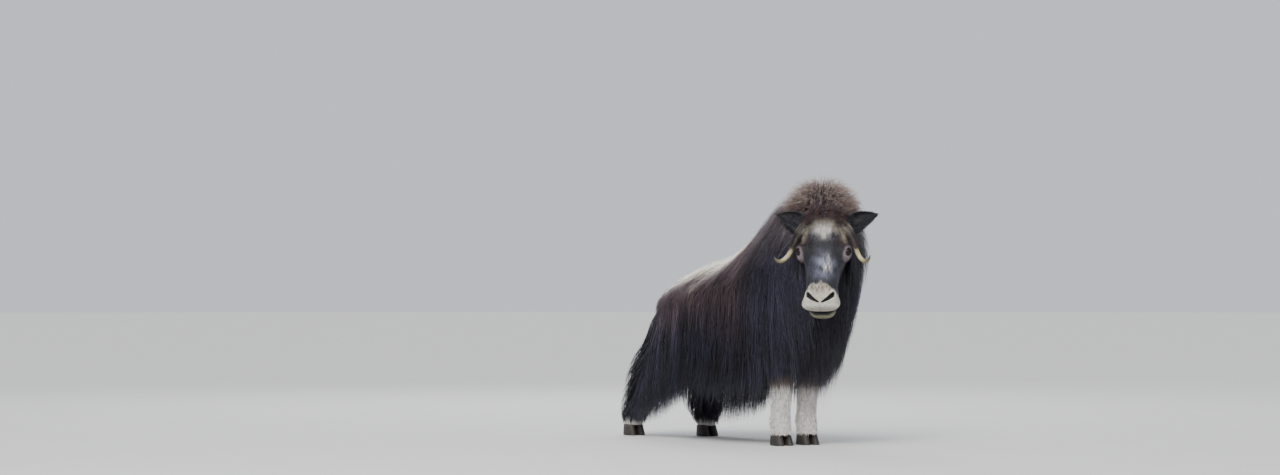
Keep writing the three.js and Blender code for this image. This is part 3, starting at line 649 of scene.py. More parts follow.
def mixed(base, colour, share):
    return base + (colour - base) * np.clip(share, 0, 1)[:, None]


def layered(colour, layers):
    """Tones laid over a colour one after another, each by its share."""
    for tone, share in layers:
        colour = mixed(colour, tone, share)
    return colour


def coat_markings(p):
    y, z = p[:, 1], p[:, 2]
    _, middle, _, up, _, _, _ = along(COAT, y).T
    broken = mottle(p, 120)
    lift = (z - middle) / up + 0.05 * broken
    edge = 0.48 + 0.46 * step(220, 110, y) + 0.46 * step(800, 900, y)
    streak = np.exp(-(((y - 300 - 360 * (0.55 - lift)) / 20) ** 2)) * step(0.08, 0.25, lift)
    saddle = step(edge - 0.08, edge + 0.1, lift) * step(130, 205, y)
    neck = (0.6 + 0.25 * broken) * step(-0.1, 0.75, lift) * step(280, 60, y) * step(-330, -200, y)
    d, o, l = head_places(p)
    cheek = np.exp(-(((d - 235) / 75) ** 2) - ((np.abs(l) - 118) / 26) ** 2)
    return layered(np.tile(BLACK, (len(p), 1)), [
        (VIOLET, 0.45 + 0.5 * broken),
        (FLANK, (0.7 + 0.22 * broken) * step(-1.0, 0.2, lift) * step(-60, 160, y) * step(1000, 850, y)),
        (GREY_NECK, neck),
        (GREY_NECK, 0.55 * step(edge - 0.4, edge - 0.08, lift) * step(940, 860, y) * step(120, 260, y)),
        (CREAM, np.maximum(saddle, 0.6 * streak) * step(930, 880, y)),
        (CHEEK, 0.65 * cheek * step(-150, -60, o) * step(60, 20, o)),
    ])


def leg_markings(p, colour):
    x, y, z = p.T
    fore = step(130, 100, np.abs(y)) * step(150, 130, np.abs(x))
    return layered(colour, [(KNEE, 0.8 * fore * step(330, 285, z)), (STOCKING, fore * step(285, 240, z)),
                            (STOCKING, 0.75 * step(800, 830, y) * step(105, 60, z))])


def spot_of(d, l, middle, half):
    """1 in the middle of an oval on the face, 0 at its edge and beyond it."""
    return np.exp(-1.6 * (((d - middle[0]) / half[0]) ** 2 + ((l - middle[1]) / half[1]) ** 2))


def face_markings(p):
    d, o, l = head_places(p)
    side = np.abs(l)
    soft, fine = mottle(p, 34), mottle(np.stack([0.3 * d, 0 * o, l], -1), 9)
    front = step(-25, 10, o)
    band = np.exp(-(((d - (64 + 0.0055 * side**2 + 5 * soft)) / 21) ** 2))
    edge = d - (327 + 0.0085 * l**2) + 6 * soft + 4 * fine
    below, hole = -from_mouth(d, o, l), from_nostril(d, o, l)
    wing = np.exp(-(((hole - 1.75) / 0.45) ** 2)) * step(34, 50, side)
    wing += 0.6 * step(404, 424, d) * step(-5, 10, o)
    layers = [
        (BROW_DARK, 0.3 + 0.4 * soft),
        (DOME_BROWN, step(70, 30, d)),
        # Painted highlight: the sky's pale blue-grey sheen on the bridge's flat fur, with a paler spot inside
        # it.
        (BRIDGE, (0.6 + 0.3 * soft + 0.12 * fine) * 1.3 * spot_of(d, l, (248, 4), (66, 58)) * front),
        (FOREHEAD, (0.34 + 0.3 * fine) * spot_of(d, l, (246, 22), (44, 24)) * front),
        (BRIDGE, (0.35 + 0.3 * fine) * spot_of(d, side, (112, 46), (24, 26)) * front),
        (BROW_DARK, 1.4 * spot_of(d, side, (165, 60), (62, 30)) * front),
        (RUST, 0.6 * spot_of(d, side, (132, 84), (22, 26))),
        (TAN, (0.85 + 0.25 * fine) * band * step(-30, 0, o) * step(108, 84, side)),
        (FOREHEAD, 2.0 * spot_of(d, l, (94, 0), (30, 40)) * (0.85 + 0.3 * fine) * front),
        (MUZZLE, step(-9, 9, edge) * step(-75, -45, o)),
        (PAD, step(-4, 12, edge) * step(392, 350, d) * step(5, 20, o) * (0.62 + 0.5 * fine)),
        (BROW_DARK, step(3, 9, below) * step(325, 345, d) * step(38, 54, side)),
        (FOREHEAD, 0.7 * wing * step(-4, 12, edge) * step(-40, -20, o)),
        (CHIN, step(350, 375, d) * step(-34, -42, o) * step(62, 46, side)),
        (BROW_DARK, step(-66, -92, o) * step(350, 375, d)),
        # Painted shade: the nostril openings, to a little past their edge, are near black for the dark inside a
        # deep nostril.
        (NOSTRIL_BLACK, step(1.3, 0.85, hole)),
        # The line of the lips and the strip under it are near black: the lips' own dark edge, with painted
        # shade in the crease under the upper lip.
        (NOSTRIL_BLACK, step(340, 372, d) * step(-4, 0, below) * step(26, 14, below)),
    ]
    for hand in SIDES.values():
        centre, look, across, along_face = eye_axes(hand)
        v = p - centre
        ring = np.sqrt(((v @ along_face - 8) / 38) ** 2 + ((v @ across) / 25) ** 2) + 0.08 * fine
        wet = np.sqrt(((v @ along_face) / LID_LONG) ** 2 + ((v @ across) / LID_WIDE) ** 2)
        layers += [(EYE_RING, 0.85 * step(1.15, 0.7, ring) * step(-22, -4, v @ look)),
                   (NOSTRIL_BLACK, step(1.42, 1.1, wet) * step(0, 8, v @ look))]
    return layered(np.tile(SLATE, (len(p), 1)), layers + [(EAR_BLACK, step(84, 96, side) * step(60, 30, d))])


def on_face(p):
    """How far a place belongs to the head and not to the neck."""
    d, o, l = head_places(p)
    return (d > -48) & (d < 450) & (np.abs(l) < 240) & (o > -135) & (o < 100)


def crown_markings(p, colour):
    per_size = np.stack([FACE_LEFT / DOME_WIDE, DOME_BACK / DOME_DEEP, [0, 0, 1 / DOME_TALL]], 1)
    rise = np.linalg.norm((p - DOME_MIDDLE) @ per_size, axis=1)
    return mixed(colour, DOME_BROWN, step(1.05, 0.8, rise) * step(940, 1000, p[:, 2]))


def hanging_markings(p):
    """The colour of hair that hangs past the legs and the head without taking theirs."""
    return crown_markings(p, coat_markings(p))


def markings(p):
    colour = crown_markings(p, leg_markings(p, coat_markings(p)))
    head = on_face(p)
    colour[head] = face_markings(p[head])
    return colour


def paint(made, colours):
    layer = made.data.color_attributes.new("markings", "FLOAT_COLOR", "POINT")
    rgba = np.concatenate([colours, np.ones((len(colours), 1))], 1)
    layer.data.foreach_set("color", rgba.astype(np.float32).ravel())


def uncarved_places(made):
    """Where each point lay before the carving, so that the painted shade of a nostril goes all the way in."""
    v = read(made.data.attributes["uncarved"].data, "vector", 3)
    return np.where(np.abs(v).sum(1, keepdims=True) > 0, v, places_of(made))


SKIN_UNDER_HAIR = 0.85
hide_tones = markings(uncarved_places(hide)) * SKIN_UNDER_HAIR
paint(hide, hide_tones)
hide.data.attributes.remove(hide.data.attributes["uncarved"])
print("painted the hide by place")

# %% [markdown]
# ## Finishes
# Wool and skin get their tone from the markings, broken by a fine noise, with a soft sheen. The skin adds a
# grain that runs down the face, as short flat fur does. Horn and hoof are banded along their length.

# %% Helpers for finishes
def finish(name):
    """A new material, the tree of its nodes and its shader."""
    material = bpy.data.materials.new(name)
    material.use_nodes = True
    return material, material.node_tree, material.node_tree.nodes["Principled BSDF"]


def set_inputs(node, **values):
    """Constants on a node's own sockets, with a low line for each space in their names."""
    for name, value in values.items():
        node.inputs[name.replace("_", " ")].default_value = value


def attribute_of(tree, name):
    made = tree.nodes.new("ShaderNodeAttribute")
    made.attribute_name = name
    return made.outputs


def noise_of(tree, scale, detail=4.0, rough=0.6, place=None):
    """Noise over the object's own places, or over those of another socket."""
    if place is None:
        place = tree.nodes.new("ShaderNodeTexCoord").outputs["Object"]
    made = tree.nodes.new("ShaderNodeTexNoise")
    set_inputs(made, Scale=scale, Detail=detail, Roughness=rough)
    tree.links.new(place, made.inputs["Vector"])
    return made.outputs["Fac"]


def toned(tree, value, stops):
    """A value turned into a colour by a ramp."""
    made = tree.nodes.new("ShaderNodeValToRGB")
    ramp = made.color_ramp
    while len(ramp.elements) < len(stops):
        ramp.elements.new(0.5)
    for element, (at, colour) in zip(ramp.elements, stops):
        element.position, element.color = at, (*colour, 1)
    tree.links.new(value, made.inputs["Fac"])
    return made.outputs["Color"]


def greys(tree, value, low, dark, high, pale):
    return toned(tree, value, [(low, [dark] * 3), (high, [pale] * 3)])


def maths(tree, operation, first, constant=0.5, added=None):
    made = tree.nodes.new("ShaderNodeMath")
    made.operation = operation
    tree.links.new(first, made.inputs[0])
    made.inputs[1].default_value = constant
    if added is not None:
        tree.links.new(added, made.inputs[2])
    return made.outputs["Value"]


def multiplied(tree, first, second, share):
    made = tree.nodes.new("ShaderNodeMix")
    made.data_type, made.blend_type = "RGBA", "MULTIPLY"
    made.inputs["Factor"].default_value = share
    tree.links.new(first, made.inputs["A"])
    tree.links.new(second, made.inputs["B"])
    return made.outputs["Result"]


def bumped(tree, shader, height, strength, deep):
    made = tree.nodes.new("ShaderNodeBump")
    set_inputs(made, Strength=strength, Distance=deep)
    tree.links.new(height, made.inputs["Height"])
    tree.links.new(made.outputs["Normal"], shader.inputs["Normal"])


# %% Wool and skin
def hair_finish(name, rough, sheen, sheen_tint, speckle, speck_scale):
    material, tree, shader = finish(name)
    speck = greys(tree, noise_of(tree, speck_scale), 0.3, 0.5, 0.7, 1.25)
    colour = multiplied(tree, attribute_of(tree, "markings")["Color"], speck, speckle)
    tree.links.new(colour, shader.inputs["Base Color"])
    set_inputs(shader, Roughness=rough, Specular_IOR_Level=0.35, Sheen_Weight=sheen, Sheen_Roughness=0.4,
               Sheen_Tint=(*sheen_tint, 1))
    return material, tree, shader, colour


wool, *_ = hair_finish("wool", 0.42, 0.15, (0.75, 0.75, 1.0), 0.6, 55)
skin_finish, tree, shader, speckled = hair_finish("skin", 0.62, 0.1, (0.8, 0.8, 0.9), 0.5, 120)
grain = noise_of(tree, 430, 6, 0.7, attribute_of(tree, "lie")["Vector"])
bumped(tree, shader, grain, 0.8, 0.003)
streaks = greys(tree, grain, 0.34, 0.45, 0.66, 1.3)
tree.links.new(multiplied(tree, speckled, streaks, 0.75), shader.inputs["Base Color"])
GRAIN_STRETCH = 0.2
d, o, l = head_places(places_of(hide))
write(hide, "lie", "FLOAT_VECTOR", "vector", np.stack([GRAIN_STRETCH * d, o, l], -1) / 1000)
hide.data.materials.clear()
hide.data.materials.append(skin_finish)

# %% [markdown]
# ## Unwrap
# Every tuft later takes its place on the map of the skin that it grows from. The skin is unwrapped by its
# own shape: faces that look the same way are laid out together.

# %% Unwrap of the skin
bpy.context.view_layer.objects.active = hide
hide.select_set(True)
bpy.ops.object.mode_set(mode="EDIT")
bpy.ops.mesh.select_all(action="SELECT")
bpy.ops.uv.smart_project(angle_limit=math.radians(66), island_margin=0.001)
bpy.ops.object.mode_set(mode="OBJECT")
hide.data.uv_layers[0].name = "OFBake"
loop_uv = read(hide.data.uv_layers["OFBake"].data, "uv", 2)
loop_point = read(hide.data.loops, "vertex_index", kind=np.int32)
point_uv = np.zeros((len(hide.data.vertices), 2))
point_uv[loop_point] = loop_uv
skin_points = places_of(hide)
nearest = KDTree(len(skin_points))
for i, place in enumerate(skin_points):
    nearest.insert(place, i)
nearest.balance()
print("unwrapped", len(point_uv), "points")


def skin_index(p):
    return np.array([nearest.find(q)[1] for q in p])


# %% Riding and standing in
FLESH = ["head", "lower_jaw", "ear_left", "ear_right", "neck", "shoulders", "barrel", "rump", "tail",
         "foreleg_left", "foreleg_right", "hindleg_left", "hindleg_right"]
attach(hide, "root")
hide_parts(*FLESH)

# %% [markdown]
# ## Eyes
# A muskox's eye is a dark brown ball with a wide pupil that lies level, and a clear bulge in front. The
# ball is drawn in its own directions, so the iris and pupil are painted by how far a place is from the line
# of sight.

# %% Eyes
def eye_finish():
    material, tree, shader = finish("eye")
    pupil, size = (tree.nodes.new("ShaderNodeVectorMath") for _ in range(2))
    pupil.operation, size.operation = "MULTIPLY", "LENGTH"
    pupil.inputs[1].default_value = (1.9, 4.2, 0)
    tree.links.new(attribute_of(tree, "gaze")["Vector"], pupil.inputs[0])
    tree.links.new(pupil.outputs["Vector"], size.inputs[0])
    tone = toned(tree, maths(tree, "MULTIPLY", size.outputs["Value"]), [
        (0.0, (0.002, 0.002, 0.003)), (0.46, (0.003, 0.002, 0.002)), (0.56, (0.02, 0.01, 0.006)),
        (1.0, (0.012, 0.007, 0.005))])
    tree.links.new(tone, shader.inputs["Base Color"])
    set_inputs(shader, Roughness=0.1, Specular_IOR_Level=0.1)
    set_inputs(shader, Coat_Weight=0.8, Coat_IOR=1.33, Coat_Roughness=0.02)
    return material


eye_wet = eye_finish()
for word, side in SIDES.items():
    centre, look, across, along_face = eye_axes(side)
    level = unit(np.cross(look, [0, 0, 1]))
    upright = np.cross(level, look)
    turn = np.linspace(0.5, -0.5, 48)[:, None] * np.pi
    angle = round_steps(64)[None]
    gaze = points(np.cos(turn) * np.cos(angle), np.cos(turn) * np.sin(angle), np.sin(turn))
    bulge = 1 + 0.05 * np.exp(-((1 - gaze[..., 2]) / 0.12) ** 2)
    rings = centre + EYE_RADIUS * bulge[..., None] * (gaze @ np.array([level, upright, look]))
    eye = new_object(f"eyeball_{word}", loft(rings))
    write(eye, "gaze", "FLOAT_VECTOR", "vector", np.vstack([gaze.reshape(-1, 3), [[0, 0, 1], [0, 0, -1]]]))
    eye.data.materials.append(eye_wet)
    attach(eye, "root")
    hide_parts(f"eye_{word}")
print("eyes", EYE_RADIUS * 2, "mm across")

# %% [markdown]
# ## Horns
# At two years a cow's horns are thin: they leave the side of the forehead, sweep down past the eye and hook
# out and up. They are cream and olive, rough and ringed near the root, smooth and dark at the tip.

# %% Horns
# place along it, down the face, out of it, to the side, half width, half thickness
HORN = [
    [0, 40, 40, 62, 24, 9], [1, 68, 42, 94, 21, 10], [2, 105, 30, 119, 15, 10], [3, 150, 18, 137, 11, 10],
    [4, 192, 22, 155, 9.5, 9.5], [5, 222, 36, 178, 8.5, 8.5], [6, 224, 50, 197, 6, 6],
    [7, 206, 58, 207, 1.5, 1.5],
]


def banded_finish(name, stops, rough, rings, ring_depth, noise_scale):
    material, tree, shader = finish(name)
    noise = noise_of(tree, noise_scale, 6, 0.65)
    place = maths(tree, "MULTIPLY_ADD", noise, 0.12, attribute_of(tree, "length")["Fac"])
    speck = toned(tree, noise, [(0.35, (0.6, 0.58, 0.55)), (0.65, (1.1, 1.1, 1.1))])
    tree.links.new(multiplied(tree, toned(tree, place, stops), speck, 0.7), shader.inputs["Base Color"])
    bumped(tree, shader, maths(tree, "SINE", maths(tree, "MULTIPLY", place, rings)), 0.6, ring_depth)
    set_inputs(shader, Roughness=rough)
    return material


HORN_TONES = [(0.0, tint(38, 31, 28)), (0.43, tint(58, 49, 40)), (0.52, tint(150, 140, 104)),
              (0.68, tint(186, 178, 140)), (0.86, tint(116, 106, 76)), (1.0, tint(34, 31, 27))]
horn_banded = banded_finish("horn", HORN_TONES, 0.36, 190, 0.0006, 90)


def on_horn(side, t, angle, away):
    """A place on a horn: t from 0 at the root to 7 at the tip."""
    down, out, left, across, thick = np.moveaxis(along(HORN, t), -1, 0)
    centre = on_head(down, out, left * side)
    before, after = (on_head(row[..., 0], row[..., 1], row[..., 2] * side)
                     for row in (along(HORN, t - 0.05), along(HORN, t + 0.05)))
    ahead = unit(after - before)
    wide = unit(np.cross(ahead, OUT_OF_FACE))
    face = np.cross(wide, ahead)
    ridge = 1 + 0.035 * np.sin(t * 9) * step(4.5, 1.5, t)
    return (centre + wide * ((across * ridge + away) * np.cos(angle))[..., None]
            + face * ((thick * ridge + away) * np.sin(angle))[..., None])


for word, side in SIDES.items():
    rings = on_horn(side, np.linspace(0, 7, 110)[:, None], round_steps(28)[None], 0)
    horn = new_object(f"ringed_horn_{word}", loft(rings))
    t = np.repeat(np.linspace(0, 1, len(rings)), rings.shape[1])
    write(horn, "length", "FLOAT", "value", np.concatenate([t, [0, 1]]))
    horn.data.materials.append(horn_banded)
    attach(horn, "root")
    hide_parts(f"horn_{word}")
horn_length = np.linalg.norm(np.diff(rings.mean(1), axis=0), axis=1).sum()
print("horns", round(float(horn_length)), "mm from root to tip")

# %% [markdown]
# ## Hooves
# Each foot has two claws, straight on the inside and round on the outside, with growth lines like a
# fingernail and an edge worn smooth by gravel.

# %% Hooves
HOOF_HEIGHT, CLAW_APART = 52, 23
HOOF_TONES = [(0.0, tint(58, 52, 46)), (0.25, tint(38, 34, 31)), (0.8, tint(48, 43, 39)),
              (1.0, tint(76, 68, 60))]
hoof_worn = banded_finish("hoof", HOOF_TONES, 0.5, 60, 0.0008, 60)
# height as a share, and how far the wall stands out there
CLAW_ROWS = [[0, -5.5], [0.012, -3], [0.04, -1], [0.09, 0], [0.3, 0.4], [0.34, -0.2], [0.55, 0.3],
             [0.6, -0.3], [0.85, 0.2], [0.95, -0.6], [1.0, -3]]


def claw_rings(x, y, side):
    rings = []
    for t, bevel in CLAW_ROWS:
        c, s = rim(round_steps(48), 2.3)
        half = np.where(c * side < 0, 20.5, 24 - 4 * t) + bevel
        narrow = np.where(s < 0, 1 + 0.25 * s**3, 1)
        rings.append(points(x + side * CLAW_APART + half * c * narrow,
                            y - 8 + 10 * t + (46 - 12 * t + bevel) * s, HOOF_HEIGHT * t))
    return np.array(rings)


for word, side in SIDES.items():
    for inner, way in (("inner", -side), ("outer", side)):
        for pair, foot in (("fore", (FORE_STANCE * side, 0)), ("hind", HIND_FEET[word])):
            claw = new_object(f"claw_{pair}_{word}_{inner}", loft(claw_rings(*foot, way)))
            heights = np.concatenate([np.repeat([t for t, _ in CLAW_ROWS], 48), [0, 1]])
            write(claw, "length", "FLOAT", "value", heights)
            claw.data.materials.append(hoof_worn)
            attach(claw, "root")
            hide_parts(f"hoof_{pair}_{word}_{inner}")
print("eight claws", HOOF_HEIGHT, "mm tall")

# %% [markdown]
# ## Tufts
# A coat is made of tufts: each is a thin three-sided blade that follows a path from its root in the skin to
# its tip. All the tufts of a region are drawn at once from arrays, which is quick and keeps them in one
# mesh. Each tuft also gets a tiny patch of the skin's own map, at the place that it grows from.

# %% Tufts
MOST_TRIANGLES = 190000
PATCH = 0.003
coat_pieces = []
dice = np.random.default_rng(11)


def blade_faces(count, stations):
    """Faces of many blades: walls of four corners, then the tips and roots of three."""
    per = 3 * (stations - 1) + 1
    walls, ends = [], [[0, 1, 2]]
    for i in range(stations - 2):
        for k in range(3):
            n = (k + 1) % 3
            walls.append([3 * i + k, 3 * i + 3 + k, 3 * i + 3 + n, 3 * i + n])
    for k in range(3):
        ends.append([3 * (stations - 2) + k, per - 1, 3 * (stations - 2) + (k + 1) % 3])
    start = (np.arange(count) * per)[:, None, None]
    return (start + np.array(walls)[None]).reshape(-1, 4), (start + np.array(ends)[None]).reshape(-1, 3)


def blade_points(paths, outs, widths, swell, thick):
    ahead = np.empty_like(paths)
    ahead[:, 1:-1] = paths[:, 2:] - paths[:, :-2]
    ahead[:, 0], ahead[:, -1] = paths[:, 1] - paths[:, 0], paths[:, -1] - paths[:, -2]
    across = unit(np.cross(ahead, outs))
    face = unit(np.cross(across, ahead))
    half = (widths[:, None] * swell[None] / 2)[:, :-1, None]
    rings = np.stack([paths[:, :-1] + across[:, :-1] * half, paths[:, :-1] + face[:, :-1] * half * 2 * thick,
                      paths[:, :-1] - across[:, :-1] * half], 2)
    return np.concatenate([rings.reshape(len(paths), -1, 3), paths[:, -1:]], 1)


def tufts(name, paths, outs, widths, colours, thick=0.4):
    """Joined meshes of tufts, none with too many triangles. Paths are (tufts, stations, 3)."""
    stations = paths.shape[1]
    if outs.ndim == 2:
        outs = np.repeat(outs[:, None], stations, 1)
    swell = np.concatenate([[0.7], np.linspace(1, 0.45, stations - 2), [0]])
    each = 6 * (stations - 2) + 4
    most = MOST_TRIANGLES // each
    pieces = max(1, math.ceil(len(paths) / most))
    for number, part in enumerate(np.array_split(np.arange(len(paths)), pieces)):
        corners = blade_points(paths[part], outs[part], widths[part], swell, thick)
        walls, ends = blade_faces(len(part), stations)
        piece = new_object(f"{name}_{number + 1}", (corners.reshape(-1, 3), walls, ends))
        side = np.concatenate([np.tile([0, 0.5, 1], stations - 1), [0.5]])
        length = np.concatenate([np.repeat(np.arange(stations - 1), 3), [stations - 1]])
        shade = colours[part][:, length]
        paint(piece, shade.reshape(-1, 3))
        root = point_uv[skin_index(paths[part][:, 0])]
        patch = np.stack([side - 0.5, length / (stations - 1) - 0.5], -1) * PATCH
        uv = np.clip(root[:, None] + patch[None], 0, 1).reshape(-1, 2)
        loop_points = np.concatenate([walls.ravel(), ends.ravel()])
        layer = piece.data.uv_layers.new(name="OFBake")
        layer.data.foreach_set("uv", uv[loop_points].astype(np.float32).ravel())
        piece.data.materials.append(wool)
        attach(piece, "root")
        coat_pieces.append((piece, len(part) * each))
    print(f"{name}: {len(paths)} tufts, {len(paths) * each} triangles in {pieces}")


def shaded(base, stations, at_root=0.55, at_tip=1.15, spread=0.22, own=None):
    """Darker at the root and paler at the tip, each tuft a little different, and each lock too."""
    base = base[:, None] if base.ndim == 2 else base
    fade = np.linspace(at_root, at_tip, stations)[None, :, None]
    each = dice.normal(0, spread, (len(base), 1, 1))
    if own is not None:
        each = each * 0.7 + dice.normal(0, spread * 1.3, own.max() + 1)[own][:, None, None]
    bright = np.clip(1.5 * base.mean(-1, keepdims=True), 0, 0.85)
    return base * (1 + (fade - 1) * (1 - bright)) * np.exp(each * (1 - 0.6 * bright))


def by_place(paths, rule, astray):
    """The rule's colour at every station of each tuft, read a little astray so that no edge is sharp."""
    spots = paths + dice.normal(0, 1, (len(paths), 1, 3)) * astray
    return rule(spots.reshape(-1, 3)).reshape(paths.shape)


def frizz(paths, size, turns=1.5):
    """A small wave that grows towards the tips."""
    count, stations = paths.shape[:2]
    t = np.linspace(0, 1, stations)[None, :, None]
    phase = dice.uniform(0, FULL_TURN, (count, 1, 3))
    speed = dice.uniform(0.6, 1.4, (count, 1, 3)) * turns * FULL_TURN
    return paths + size * t * np.sin(phase + speed * t)


# %% [markdown]
# ## The long side coat
# Guard hairs up to half a metre long hang from back and flank and end in a ragged hem near the ground.
# Single hairs gather into locks, so each tuft here starts at its own place but leans towards the middle of
# its lock as it falls. Roots are drawn from the back down to below the widest place, and the lower ones
# reach the hem.

# %% Paths of the long coat
def gathered(own, centres, scale):
    """The nearest lock's middle for each tuft."""
    best = np.empty(len(own), int)
    for part in np.array_split(np.arange(len(own)), max(1, len(own) // 2000)):
        gap = (own[part][:, None] - centres[None]) * scale
        best[part] = (gap**2).sum(-1).argmin(1)
    return best


FALL = np.array([0, 0.12, 0.32, 0.56, 0.8, 1.0])
SHORT_FALL = np.array([0, 0.18, 0.42, 0.72, 1.0])


LOCKS, LOCK_PULL, LOCK_WAVE = 900, 0.72, 16.0


def falling(y, side, root, tip, top, sweep, fall):
    """Paths that hang from the trunk in locks, the way out of the coat along them, and each one's lock."""
    middle = np.stack([dice.uniform(COAT[0][0], COAT[-1][0], LOCKS), dice.uniform(-0.45, 1, LOCKS)], 1)
    own = gathered(np.stack([y, root], 1), middle, np.array([1.0, 330.0]))
    t = fall[None]
    shorter = (0.09 * np.abs(dice.normal(0, 1, LOCKS)))[own]
    tip = np.minimum(tip + shorter, root - 0.16)
    lean = (middle[own, 0] - y)[:, None] * LOCK_PULL
    lock_phase, lock_lift, lock_speed = (dice.uniform(low, high, LOCKS)[own][:, None]
                                         for low, high in ((0, FULL_TURN), (-0.3, 0.08), (3.5, 8)))
    wander = LOCK_WAVE * t * np.sin(lock_phase + t * lock_speed + dice.normal(0, 0.4, (len(y), 1)))
    ys = y[:, None] + (sweep * t**1.3 + lean * t**1.4 + wander) + dice.normal(0, 6, (len(y), 1)) * t
    downs = root[:, None] + (tip - root)[:, None] * t
    depth = (1 - (1 - t) ** 1.9) * (top[:, None] + lock_lift) - 0.02
    paths = in_coat(ys, side[:, None], downs, depth)
    rear = in_coat(ys + 8, side[:, None], downs, depth) - paths
    lower = in_coat(ys, side[:, None], downs - 0.03, depth) - paths
    outs = unit(np.cross(lower, rear)) * side[:, None, None]
    return frizz(paths, 5.5, 1.8), outs, own


def clear_of_head(paths, brow=25):
    """Leaves out tufts that would run through the head or hang before the face or the ears."""
    d, o, l = head_places(paths[:, 1:])
    wide, _, throat, _ = np.moveaxis(along(SKULL, d), -1, 0)
    side = np.abs(l)
    before_face = (d > brow) & (d < 445) & (side < wide + 4) & (o > -throat * 0.6)
    before_ear = (d > -70) & (d < 45) & (side > 85) & (side < 228) & (o > -30)
    by_eye = (d > 110) & (d < 235) & (side < 165) & (o > -25)
    return ~(before_face | before_ear | by_eye).any(1)


def kept(flags, *arrays):
    return [a[flags] for a in arrays]


# %% The long coat
def long_coat(name, count, y_range, root_range, length_range, width, sweep, fall):
    y = dice.uniform(*y_range, count)
    side = np.where(np.arange(count) % 2 == 0, 1.0, -1.0)
    root = dice.uniform(*root_range, count)
    tip = np.maximum(root - dice.uniform(*length_range, count), -1.05 + 0.08 * dice.normal(0, 1, count) ** 2)
    top = dice.uniform(0.8, 1.03, count)
    paths, outs, own = falling(y, side, root, tip, top, sweep, fall)
    use = clear_of_head(paths)
    paths, outs, own = kept(use, paths, outs, own)
    colours = shaded(by_place(paths, hanging_markings, (0, 12, 14)), len(fall), 0.6, 1.3, 0.26, own)
    tufts(name, paths, outs, dice.uniform(*width, len(paths)), colours)


long_coat("skirt", 8900, (-335, 995), (-0.4, 0.42), (0.8, 1.3), (2.2, 4.6), 38.0, FALL)
long_coat("upper_coat", 10900, (-300, 985), (0.2, 0.98), (0.3, 0.68), (1.6, 3.4), 55.0, SHORT_FALL)


def back_wool(count):
    """Short wool that lies back along the spine and hides the parting."""
    y, side = dice.uniform(60, 900, count), dice.choice([-1.0, 1.0], count)
    root = 1 - 0.24 * dice.uniform(0, 1, count) ** 1.6
    t = SHORT_FALL[None]
    astray = dice.normal(0, 0.05, (count, 1)) * t
    long = dice.uniform(45, 110, (count, 1))
    depth = (1 - (1 - t) ** 2) * dice.uniform(0.8, 1.02, (count, 1)) - 0.03
    paths = in_coat(y[:, None] + long * t, side[:, None], root[:, None] - 0.05 * t + astray, depth)
    outs = points(0.25 * side, 0 * y, np.ones(count))
    colours = shaded(by_place(paths, hanging_markings, (0, 12, 8)), len(SHORT_FALL), 0.7, 1.2, 0.2)
    tufts("back_wool", frizz(paths, 5.0, 1.5), unit(outs), dice.uniform(1.6, 3.2, count), colours)


back_wool(1500)

# %% [markdown]
# ## The crown of wool
# Behind the horns a young cow carries a dome of upright, frizzy wool. Its tufts stand out of a low mound on
# every side and curl over a little. They are dark brown at the root and paler, grey-tan, at the tips,
# most of all on top.

# %% Crown of wool
CROWN_TIP = tint(206, 188, 176)
CROWN_CLUMPS, CROWN_REACH, CROWN_ROOT = 460, (0.84, 1.04), 0.42


def crown(count):
    lift = np.arcsin(dice.uniform(-0.35, 1, count))
    angle = dice.uniform(0, 2 * np.pi, count)
    own_way = points(np.cos(lift) * np.cos(angle), np.cos(lift) * np.sin(angle), np.sin(lift))
    middle = unit(dice.normal(0, 1, (CROWN_CLUMPS, 3)))
    middle[:, 2] = np.abs(middle[:, 2]) * 1.2 - 0.2
    own = gathered(own_way, middle, 1.0)
    lean = unit(middle[own])
    t = np.linspace(0, 1, 6)[None]
    wisp = 0.04 * (dice.uniform(0, 1, (count, 1)) > 0.94)
    share = CROWN_ROOT + (dice.uniform(*CROWN_REACH, (count, 1)) + wisp - CROWN_ROOT) * t**0.9
    droop = np.radians(dice.uniform(2, 26, (count, 1))) * t**1.7
    path = on_dome(lift[:, None] - droop, angle[:, None] + 0 * t, share)
    lean_lift, lean_angle = np.arcsin(np.clip(lean[:, 2], -1, 1)), np.arctan2(lean[:, 1], lean[:, 0])
    gather = on_dome(lean_lift[:, None] - droop, lean_angle[:, None] + 0 * t, share)
    path = path + (gather - path) * (0.38 * t**1.2)[..., None]
    path = frizz(path, 6.5, 2.2)
    outs = unit(path - (DOME_MIDDLE + dice.normal(0, 60, (count, 1, 3))))
    outs = unit(outs + dice.normal(0, 0.5, (count, 1, 3)))
    use = clear_of_head(path, 52)
    path, outs, lift = kept(use, path, outs, lift)
    high = step(-0.1, 0.9, lift)[:, None]
    pale = (0.12 + 0.8 * high) * step(0.4, 1.0, t) * dice.uniform(0.4, 1.4, (len(path), 1))
    colours = shaded(np.tile(DOME_BROWN, (len(path), 1)), 6, 0.5, 1.3, 0.25)
    colours = colours + (CROWN_TIP - colours) * np.clip(pale, 0, 1)[..., None]
    tufts("crown", path, outs, dice.uniform(1.3, 2.9, len(path)), colours)


crown(7500)

# %% [markdown]
# ## Bib, belly and rear
# The hair in front of the chest, under the belly and behind the rump starts inside the body and hangs free,
# so each tuft follows a simple curve: out of its root, over a shoulder and down to its tip.

# %% Free hanging hair
def hung(root, shoulder, tip, wave=6.0):
    t = FALL[None, :, None]
    path = root[:, None] * (1 - t) ** 2 + shoulder[:, None] * 2 * t * (1 - t) + tip[:, None] * t**2
    return frizz(path, wave, 1.2)


